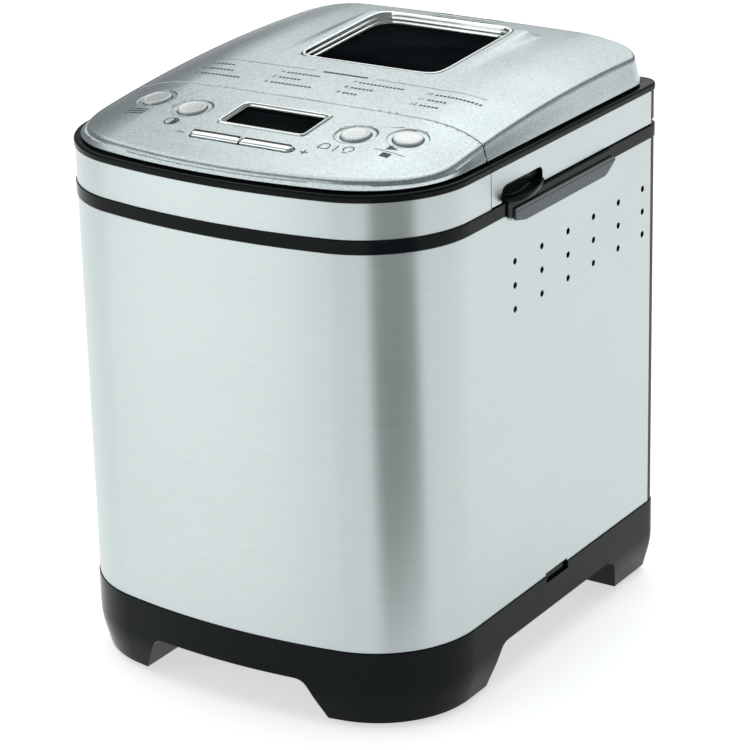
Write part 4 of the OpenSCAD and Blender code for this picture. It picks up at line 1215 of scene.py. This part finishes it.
def make_window():
    """Bright stepped frame and dark glass of the lid's window."""
    a = WINDOW_HALF + 0.003
    b = WINDOW_LEN / 2 + 0.003
    steps = [(0.0001, -0.0004), (0.0004, 0.0003), (0.0010, 0.0005), (0.0018, 0.0002), (0.0020, -0.0006),
             (0.0022, -0.0018), (0.0034, -0.0021), (0.0037, -0.0030), (0.0038, -0.0040), (0.0050, -0.0043),
             (0.0053, -0.0052), (0.0054, -0.0064), (0.0054, -0.0078), (0.0001, -0.0078)]
    ridge = stepped_frame("window_trim", a, b, WINDOW_POWER, steps, window_place())
    done(ridge, "lid", "bright_trim", ["window_frame"], angle=50)
    glass = slab("glass", squircle_loop(a - 0.0022, b - 0.0022, WINDOW_POWER, 120), -0.0100, -0.0068, 0.0002)
    place(glass, window_place())
    done(glass, "lid", "window_glass", ["window_glass"])
    glass.name = "window_pane"


def make_display():
    """Bevelled bright frame, dark stepped well and black lens of the display."""
    at = on_crown(0, LCD_Y)
    steps = [(0.0001, -0.0006), (0.0003, 0.0004), (0.0007, 0.0007), (0.0012, 0.0006), (0.0022, -0.0004),
             (0.0023, -0.0016), (0.0001, -0.0016)]
    bezel = stepped_frame("display_trim", LCD_HALF, LCD_HALF_LEN, LCD_POWER, steps, at)
    done(bezel, "case", "bright_trim", ["lcd_bezel"], angle=50)
    steps = [(0.0020, -0.0010), (0.0030, -0.0011), (0.0030, -0.0019), (0.0036, -0.0020), (0.0036, -0.0040),
             (0.0020, -0.0040)]
    well = stepped_frame("display_well", LCD_HALF, LCD_HALF_LEN, LCD_POWER, steps, at)
    done(well, "case", "black_gloss", angle=50)
    lines = []
    for ins, depth in ((0.00295, -0.0010), (0.00355, -0.0019)):
        steps = [(ins, depth), (ins + 0.00025, depth), (ins + 0.00025, depth - 0.0003), (ins, depth - 0.0003)]
        lines.append(stepped_frame("line", LCD_HALF, LCD_HALF_LEN, LCD_POWER, steps, at))
    done(join("display_lines", lines), "case", "bright_trim", angle=50)
    lens = slab("lens", squircle_loop(LCD_HALF - 0.0030, LCD_HALF_LEN - 0.0030, LCD_POWER, 96), -0.0042,
                -0.0030, 0.0002)
    place(lens, at)
    lens.name = "display_lens"
    done(lens, "case", "lens_black", ["lcd_lens"])


PANEL_TILT = math.asin(0.137825)
STEM_RADIUS = 0.0016
STEM_LENGTH = 0.0052


def button_stem(name):
    """A round button's stem: along the press direction, not square to the crowned face."""
    low, high = node_box(name)
    lean = math.sin(PANEL_TILT)
    matrix = Matrix.Rotation(PANEL_TILT, 4, "X")
    matrix.translation = Vector(((low.x + high.x) / 2, (low.y + high.y) / 2 + STEM_LENGTH * lean,
                                 low.z + STEM_RADIUS * lean))
    profile = [(STEM_RADIUS - 0.0002, 0), (STEM_RADIUS, 0.0004), (STEM_RADIUS, STEM_LENGTH)]
    return turned(name + "_stem", profile, matrix, 24)


def make_buttons():
    """Round caps with a soft crown, and the two chrome bars."""
    radius = 0.0085
    for name in BUTTONS:
        x, y = spot(name)
        profile = [(0.0095, -0.0035), (0.0095, -0.0027), (radius, -0.0026), (radius, -0.0002)]
        profile += [(radius - 0.0009 * (1 - math.cos(a)), -0.0002 + 0.0009 * math.sin(a))
                    for a in (math.radians(d) for d in (25, 50, 75))]
        profile += [(0.0074, 0.00072), (0.0069, 0.00060), (0.0066, 0.00050), (0.0045, 0.00046),
                    (0.0002, 0.00044)]
        cap = join(name + "_cap", [turned(name + "_cap", profile, on_crown(x, y), 72), button_stem(name)])
        done(cap, name, "button_silver", [name])
    for name, sign in zip(BARS, (-1, 1)):
        low, high = node_box(name)
        x0, x1 = sorted((abs(low.x), abs(high.x)))
        loop = stadium(x0, x1, 0.0032, -1)
        rows = []
        for ins, z in ((0.0, -0.003), (0.0, 0.0002), (0.00035, 0.0009), (0.0009, 0.00145),
                       (0.0017, 0.00175), (0.0026, 0.0019)):
            rows.append([(sign * (px * (1 - ins / x1) + (0 if px > (x0 + x1) / 2 else ins * 0.6)),
                          py * (1 - ins / 0.0032), z)
                         for px, py in loop])
        bar = loft(name + "_cap", rows, cap_first=True, cap_last=True)
        y = (low.y + high.y) / 2 + 0.0006
        place(bar, on_crown(0, y))
        done(bar, name, "bright_trim", [name], angle=45)
        # Painted reflection: a black strip laid along the rear of each chrome bar, standing in for the dark
        # that the bar's top reflects.
        loop = [(sign * px, py) for px, py in stadium(x0 + 0.0008, x1 - 0.0012, 0.0012, -1)]
        painted_reflection_strip = slab(name + "_inlay", [(px, py + 0.0012) for px, py in loop], 0.0012, 0.00196, 0.0002)
        place(painted_reflection_strip, on_crown(0, y))
        painted_reflection_strip.name = name + "_inlay"
        done(painted_reflection_strip, name, "black_gloss", angle=45)


# ---- printed marks ------------------------------------------------------

def drape(obj, lift=0.00006):
    """Lays a flat mark on the covers."""
    for vertex in obj.data.vertices:
        vertex.co.z = crown(vertex.co.x, vertex.co.y) + lift
    obj.data.update()


def flat_grid(name, x0, y0, x1, y1, cuts):
    """A flat printed bar, divided along X."""
    deselect()
    bpy.ops.mesh.primitive_grid_add(x_subdivisions=cuts, y_subdivisions=1, size=1,
                                    location=((x0 + x1) / 2, (y0 + y1) / 2, 0))
    obj = bpy.context.object
    obj.name = name
    obj.scale = (x1 - x0, y1 - y0, 1)
    bpy.ops.object.transform_apply(location=True, rotation=True, scale=True)
    return obj


def numeral(text, x, y, height):
    """A printed number, made a mesh."""
    deselect()
    bpy.ops.object.text_add(location=(0, 0, 0))
    obj = bpy.context.object
    obj.data.body = text
    obj.data.size = height * 1.4
    obj.data.align_x = "RIGHT"
    obj.data.resolution_u = 4
    bpy.ops.object.convert(target="MESH")
    obj = bpy.context.object
    place(obj, Matrix.Translation((x, y, 0)))
    return obj


def ring_mark(x, y, radius, width, start=0, stop=360, steps=32):
    """A printed arc."""
    points = []
    faces = []
    for k in range(steps + 1):
        a = math.radians(start + (stop - start) * k / steps)
        for r in (radius - width / 2, radius + width / 2):
            points.append((x + r * math.cos(a), y + r * math.sin(a), 0))
        if k:
            faces.append((2 * k - 2, 2 * k - 1, 2 * k + 1, 2 * k))
    return add_mesh("arc_mark", points, faces)


def patch_mark(points):
    return add_mesh("patch", [(x, y, 0) for x, y in points], [tuple(range(len(points)))])


def make_lid_print():
    """Programme table: twelve numbers with plain bars, under a fine ruled line."""
    marks = []
    y_rule = SEAM_SIDE + 0.050
    for sign in (-1, 1):
        a, b = sorted((sign * 0.021, sign * 0.096))
        marks.append(flat_grid("rule", a, y_rule - 0.0002, b, y_rule + 0.0002, 30))
    marks.append(flat_grid("heading", -0.0155, y_rule - 0.0011, 0.0155, y_rule + 0.0009, 10))
    columns = (-0.091, -0.041, 0.009, 0.061)
    lengths = ((0.013, 0.017, 0.027), (0.022, 0.015, 0.026), (0.030, 0.015, 0.010), (0.031, 0.011, 0.011))
    number = 1
    for column, x in enumerate(columns):
        for row in range(3):
            y = y_rule - 0.0085 - 0.0088 * row
            marks.append(numeral(str(number), x + 0.0038, y - 0.0014, 0.0034))
            start = x + 0.0058
            while start < x + 0.0058 + lengths[column][row]:
                marks.append(flat_grid("bar", start, y - 0.0011, start + 0.0017, y + 0.0010, 2))
                start += 0.0026
            number += 1
    sheet_of = join("lid_print", marks)
    drape(sheet_of)
    done(sheet_of, "lid", "ink", angle=0)


def make_panel_print():
    """Plain signs by the controls: a list, a loaf, a lamp, start and stop, minus and plus."""
    marks = []

    def bar(x0, y0, x1, y1):
        marks.append(flat_grid("bar", x0, y0, x1, y1, 4))

    below = 0.0190
    x, y = spot("button_program")
    y -= below
    for k in range(3):
        bar(x - 0.0065, y + 0.0028 * k - 0.0040, x - 0.0050, y + 0.0028 * k - 0.0028)
        bar(x - 0.0035, y + 0.0028 * k - 0.0040, x + 0.0065, y + 0.0028 * k - 0.0028)
    x, y = spot("button_crust")
    y -= below
    marks.append(ring_mark(x, y - 0.0008, 0.0042, 0.0009))
    marks.append(ring_mark(x, y - 0.0008, 0.0018, 0.0034, -90, 90, 12))
    x, y = spot("button_size")
    y -= below
    marks.append(ring_mark(x - 0.0075, y - 0.0006, 0.0030, 0.0008, 0, 180, 16))
    bar(x - 0.0109, y - 0.0042, x - 0.0041, y - 0.0034)
    bar(x - 0.0109, y - 0.0042, x - 0.0101, y - 0.0006)
    bar(x - 0.0049, y - 0.0042, x - 0.0041, y - 0.0006)
    bar(x - 0.0004, y - 0.0050, x + 0.0004, y + 0.0024)
    marks.append(ring_mark(x + 0.0075, y + 0.0002, 0.0030, 0.0008, -60, 240, 24))
    bar(x + 0.0058, y - 0.0046, x + 0.0092, y - 0.0038)
    x, y = spot("button_start")
    y -= below + 0.0005
    marks.append(patch_mark([(x - 0.0036, y + 0.0014), (x + 0.0034, y + 0.0042), (x - 0.0036, y + 0.0070)]))
    bar(x - 0.0095, y - 0.0004, x + 0.0095, y + 0.0002)
    bar(x - 0.0028, y - 0.0068, x + 0.0028, y - 0.0018)
    low = node_box("bar_minus")[0]
    high = node_box("bar_plus")[1]
    y = (node_box("bar_plus")[0].y + high.y) / 2 + 0.0006
    bar(low.x - 0.0098, y - 0.0005, low.x - 0.0048, y + 0.0005)
    bar(high.x + 0.0048, y - 0.0005, high.x + 0.0098, y + 0.0005)
    bar(high.x + 0.0068, y - 0.0025, high.x + 0.0078, y + 0.0025)
    sheet_of = join("panel_print", marks)
    drape(sheet_of)
    done(sheet_of, "case", "ink", angle=0)


# ---- oven and pan -------------------------------------------------------

def tub(name, a, b, power, profile, centre_y, count=128):
    """A rounded-rectangle vessel from (grow, height) points, closed as one wall."""
    rows = []
    for grow, z in profile:
        rows.append([(x, y, z) for x, y in squircle_loop(a + grow, b + grow, power, count, 0, centre_y)])
    return loft(name, rows, cap_first=True, cap_last=True)


def make_pan():
    """Drawn bread pan with a rolled lip, a stepped foot and a shaft boss."""
    a = PAN_HIGH.x - 0.004
    b = (PAN_HIGH.y - PAN_LOW.y) / 2 - 0.004
    z0 = PAN_LOW.z + 0.004
    z1 = PAN_HIGH.z
    wall = 0.0015
    profile = [(-0.012, z0), (-0.006, z0 + 0.0004), (-0.002, z0 + 0.002), (-0.0004, z0 + 0.005),
               (0.0, z0 + 0.010),
               (0.0, z1 - 0.006), (0.0006, z1 - 0.0035), (0.0022, z1 - 0.0020), (0.0036, z1 - 0.0018),
               (0.0040, z1 - 0.0009), (0.0036, z1 - 0.0001), (0.0022, z1), (0.0002,
                                                                            z1 - 0.0004), (-wall * 0.8,
                                                                                           z1 - 0.0016),
               (-wall, z1 - 0.005), (-wall, z0 + 0.012), (-wall - 0.0006, z0 + 0.006), (-0.006, z0 + 0.0030),
               (-0.014, z0 + 0.0018)]
    pan = tub("pan_body", a, b, 4.2, profile, PAN_Y)
    boss_top = z0 + 0.010
    boss = turned("boss", [(0.0045, z0 - 0.004), (0.0078, z0 - 0.0038), (0.0080, z0),
                           (0.0080, boss_top - 0.0010),
                           (0.0070, boss_top), (0.0045, boss_top)], Matrix.Translation((0, PAN_Y, 0)), 48)
    ears = []
    for side in (-1, 1):
        low = (min(side * (a - 0.0008), side * (a + 0.0036)), PAN_Y - 0.006, z1 - 0.012)
        high = (max(side * (a - 0.0008), side * (a + 0.0036)), PAN_Y + 0.006, z1 - 0.0022)
        ears.append(box("ear", low, high, 0.0012))
    done(join("pan_body", [pan, boss] + ears), "pan", "nonstick", ["bread_pan"])


def make_bail():
    """Bent wire handle with pinched ends."""
    low, high = node_box("bail_handle")
    z = (low.z + high.z) / 2
    wire = (high.z - low.z) / 2
    x = high.x - wire
    reach = PAN_Y - low.y - wire
    bend = 0.040
    path = [(-x + 0.008, 0.0), (-x + 0.002, 0.0), (-x + 0.0004, -0.0012), (-x, -0.004)]
    path += run((-x, -0.008), (-x, -reach + bend), 4)
    path += arc(-x + bend, -reach + bend, bend, 180, 270, 14)
    path += run((-x + bend, -reach), (0, -reach), 4)
    path = path + [(0, -reach)] + [(-px, py) for px, py in reversed(path)]
    sides = 16
    rows = []
    for k, (px, py) in enumerate(path):
        ax, ay = path[max(k - 1, 0)]
        bx, by = path[min(k + 1, len(path) - 1)]
        along = Vector((bx - ax, by - ay, 0)).normalized()
        across = Vector((along.y, -along.x, 0))
        loop = []
        for j in range(sides):
            t = 2 * math.pi * j / sides
            point = Vector((px, PAN_Y + py, z)) + across * wire * math.cos(t) + Vector((0, 0,
                                                                                        wire * math.sin(t)))
            loop.append(tuple(point))
        rows.append(loop)
    bail = loft("bail_wire", rows, cap_first=True, cap_last=True)
    done(bail, "bail", "plated_steel", ["bail_handle"])


def make_liner():
    """Oven liner with drawn corners and a flange on the deck."""
    a = CHAMBER_HIGH.x - 0.005
    b = (CHAMBER_HIGH.y - CHAMBER_LOW.y) / 2 - 0.004
    z0 = CHAMBER_LOW.z
    z1 = CHAMBER_HIGH.z
    profile = [(0.0, z0), (0.001, z0 + 0.002), (0.001, z1 - 0.001), (0.004, z1 - 0.001), (0.004, z1),
               (0.0008, z1), (0.0, z1 - 0.0008), (0.0, z0 + 0.005), (-0.0015, z0 + 0.0022), (-0.005,
                                                                                             z0 + 0.001)]
    liner = tub("oven_liner", a, b, 6.5, profile, PAN_Y)
    hole = cylinder("hole", 0.010, 0.02, Matrix.Translation((0, PAN_Y, z0)), 48)
    cut(liner, hole)
    done(liner, "case", "aluminium", ["chamber_liner"])


# ---- stage --------------------------------------------------------------

CAMERA_AT = (0.93207, -1.40647, 0.80873)
CAMERA_AZIMUTH = 33.61
CAMERA_ELEVATION = 20.44
CAMERA_ROLL = -1.55
CAMERA_LENS = 143.4
CAMERA_SHIFT = (0.0296, -0.0488)


def camera_matrix():
    """Place and turn of the camera."""
    az = math.radians(CAMERA_AZIMUTH)
    el = math.radians(CAMERA_ELEVATION)
    roll = math.radians(CAMERA_ROLL)
    back = Vector((math.sin(az) * math.cos(el), -math.cos(az) * math.cos(el), math.sin(el)))
    right = Vector((math.cos(az), math.sin(az), 0))
    up = back.cross(right)
    turned_right = right * math.cos(roll) + up * math.sin(roll)
    turned_up = up * math.cos(roll) - right * math.sin(roll)
    matrix = Matrix((turned_right, turned_up, back)).transposed().to_4x4()
    matrix.translation = CAMERA_AT
    return matrix


def add_light(name, at, aim, size, power, colour=(1, 1, 1)):
    """A soft rectangular light aimed at a point."""
    light = bpy.data.lights.new(name, "AREA")
    light.shape = "RECTANGLE"
    light.size, light.size_y = size
    light.energy = power
    light.color = colour
    obj = bpy.data.objects.new(name, light)
    obj.location = at
    obj.rotation_euler = (Vector(at) - Vector(aim)).to_track_quat("Z", "Y").to_euler()
    bpy.context.scene.collection.objects.link(obj)


FLOOR_SIZE = 14
FLOOR_DROP = 0.0002
FLOOR_GLOW = 0.62
FLAG_LIFT = 0.001
FLAG_OUTLINE = ((0.20, -0.24), (0.34, -0.62), (0.90, -1.30), (1.70, -0.75), (0.95, -0.30), (0.42, -0.14))
SKY_STRENGTH = 0.20
CEILING_POWER = 1.35
CEILING_SPREAD = 80
CEILING_TILT = (-12, -14)
# Name, place, point aimed at, width and height, watts
SOFT_LIGHTS = (
    ("back_wall", (-0.9, 2.75, 1.95), (0, 0, 0.3), (2.6, 1.9), 14),
    ("front_left", (-1.35, -2.0, 0.75), (0, 0, 0.2), (1.9, 1.4), 9),
    ("rear_right", (1.5, 1.9, 0.75), (0, 0, 0.2), (1.3, 1.3), 1.5),
)


def make_floor():
    """A flat pale floor that glows a little, so it reads as white."""
    deselect()
    bpy.ops.mesh.primitive_plane_add(size=FLOOR_SIZE, location=(0, 0, -FLOOR_DROP))
    floor = bpy.context.object
    floor.name = "studio_floor"
    f = Finish("studio_white", (0.93, 0.95, 0.95), 0.9, emission_color=(1, 1, 1, 1),
               emission_strength=FLOOR_GLOW, specular_ior_level=0.0)
    f.set("Base Color", f.blend(f.noise((3, 3, 3), 2), (0.92, 0.94, 0.94), (0.94, 0.96, 0.96)))
    floor.data.materials.append(f.material)


def make_flag():
    """A grey card on the floor, seen only as the soft dark band in the steel's front right corner."""
    points = [(x, y, FLAG_LIFT) for x, y in FLAG_OUTLINE]
    flag = add_mesh("studio_flag", points, [tuple(range(len(points)))])
    f = Finish("studio_grey", (0.33, 0.34, 0.34), 0.9, specular_ior_level=0.0)
    f.set("Base Color", f.blend(f.noise((3, 3, 3), 2), (0.31, 0.32, 0.32), (0.35, 0.36, 0.36)))
    flag.data.materials.append(f.material)
    flag.visible_camera = False
    flag.visible_shadow = False
    flag.visible_diffuse = False


def make_lights():
    """A dim sky, a broad ceiling light and three soft boxes."""
    world = bpy.data.worlds.new("studio")
    bpy.context.scene.world = world
    world.use_nodes = True
    background = world.node_tree.nodes["Background"]
    background.inputs["Color"].default_value = (0.93, 0.98, 1.0, 1)
    background.inputs["Strength"].default_value = SKY_STRENGTH
    sun = bpy.data.lights.new("ceiling", "SUN")
    sun.energy = CEILING_POWER
    sun.angle = math.radians(CEILING_SPREAD)
    ceiling = bpy.data.objects.new("ceiling", sun)
    ceiling.rotation_euler = (math.radians(CEILING_TILT[0]), math.radians(CEILING_TILT[1]), 0)
    bpy.context.scene.collection.objects.link(ceiling)
    for light in SOFT_LIGHTS:
        add_light(*light)


def make_camera():
    """The scene's camera."""
    camera = bpy.data.cameras.new("camera")
    camera.sensor_width = 36
    camera.lens = CAMERA_LENS
    camera.shift_x, camera.shift_y = CAMERA_SHIFT
    eye = bpy.data.objects.new("camera", camera)
    eye.matrix_world = camera_matrix()
    bpy.context.scene.collection.objects.link(eye)
    bpy.context.scene.camera = eye


def make_stage():
    """Floor, reflected card, lights and camera."""
    make_floor()
    make_flag()
    make_lights()
    make_camera()
    bpy.context.scene.view_settings.view_transform = "Standard"


def finish_cad_nodes():
    """Gives every CAD node that stays its own finish."""
    for name, obj in frame["nodes"].items():
        material = finish_of(SLOT_OF[name])
        if not obj.data.materials:
            obj.data.materials.append(material)
        for index in range(len(obj.material_slots)):
            obj.material_slots[index].material = material


# ---- operators ----------------------------------------------------------

def operator(idname, label, doc, work):
    """Makes an operator class that runs one maker."""
    def execute(self, context):
        work()
        return {"FINISHED"}
    return type("BREAD_OT_" + idname, (bpy.types.Operator,), {
        "bl_idname": "bread." + idname, "bl_label": label, "__doc__": doc, "execute": execute})


STEPS = (
    ("cad_finishes", "CAD finishes", "Give the CAD nodes their finishes", finish_cad_nodes),
    ("base", "Base", "Model the black base", make_base),
    ("feet", "Feet", "Model the rubber feet", make_feet),
    ("wrap", "Steel wrap", "Model the brushed steel wrap", make_wrap),
    ("rear_panel", "Rear panel", "Model the rear moulding", make_rear_panel),
    ("rim", "Lower rim", "Model the lower rim and deck", make_rim),
    ("grips", "Grips", "Model the side grips", make_grips),
    ("bands", "Steel bands", "Model the steel bands", make_bands),
    ("rings", "Upper ring", "Model the upper ring and frames", make_rings),
    ("tabs", "Lid tabs", "Model the lifting tabs", make_tabs),
    ("panel_cover", "Panel cover", "Model the fixed panel's cover", make_panel_cover),
    ("lid_cover", "Lid cover", "Model the lid's cover", make_lid_cover),
    ("window", "Window", "Model the window's frame and glass", make_window),
    ("display", "Display", "Model the display's frame and lens", make_display),
    ("buttons", "Buttons", "Model the buttons and bars", make_buttons),
    ("lid_print", "Lid print", "Lay the programme table on the lid", make_lid_print),
    ("panel_print", "Panel print", "Lay the signs on the panel", make_panel_print),
    ("liner", "Oven liner", "Model the oven liner", make_liner),
    ("pan", "Bread pan", "Model the bread pan", make_pan),
    ("bail", "Bail", "Model the pan's bail", make_bail),
    ("stage", "Stage", "Add the floor, lights and camera", make_stage),
)
OPERATORS = [operator(*step) for step in STEPS]


class BREAD_PT_machine(bpy.types.Panel):
    """Sizes, colours and pieces of the bread machine"""
    bl_idname = "BREAD_PT_machine"
    bl_label = "Bread machine"
    bl_space_type = "VIEW_3D"
    bl_region_type = "UI"
    bl_category = "Bread machine"

    def draw(self, context):
        layout = self.layout
        for group in (context.scene.bread_case, context.scene.bread_covers, context.scene.bread_finish):
            column = layout.column()
            for name in group.__annotations__:
                column.prop(group, name)
        for step in STEPS:
            layout.operator("bread." + step[0])


GROUPS = (BreadCaseSettings, BreadCoverSettings, BreadFinishSettings)


def register():
    for item in (*GROUPS, *OPERATORS, BREAD_PT_machine):
        bpy.utils.register_class(item)
    bpy.types.Scene.bread_case = bpy.props.PointerProperty(type=BreadCaseSettings)
    bpy.types.Scene.bread_covers = bpy.props.PointerProperty(type=BreadCoverSettings)
    bpy.types.Scene.bread_finish = bpy.props.PointerProperty(type=BreadFinishSettings)


def unregister():
    del bpy.types.Scene.bread_finish
    del bpy.types.Scene.bread_covers
    del bpy.types.Scene.bread_case
    for item in reversed((*GROUPS, *OPERATORS, BREAD_PT_machine)):
        bpy.utils.unregister_class(item)


def main():
    register()
    for step in STEPS:
        getattr(bpy.ops.bread, step[0])()


if __name__ == "__main__":
    main()
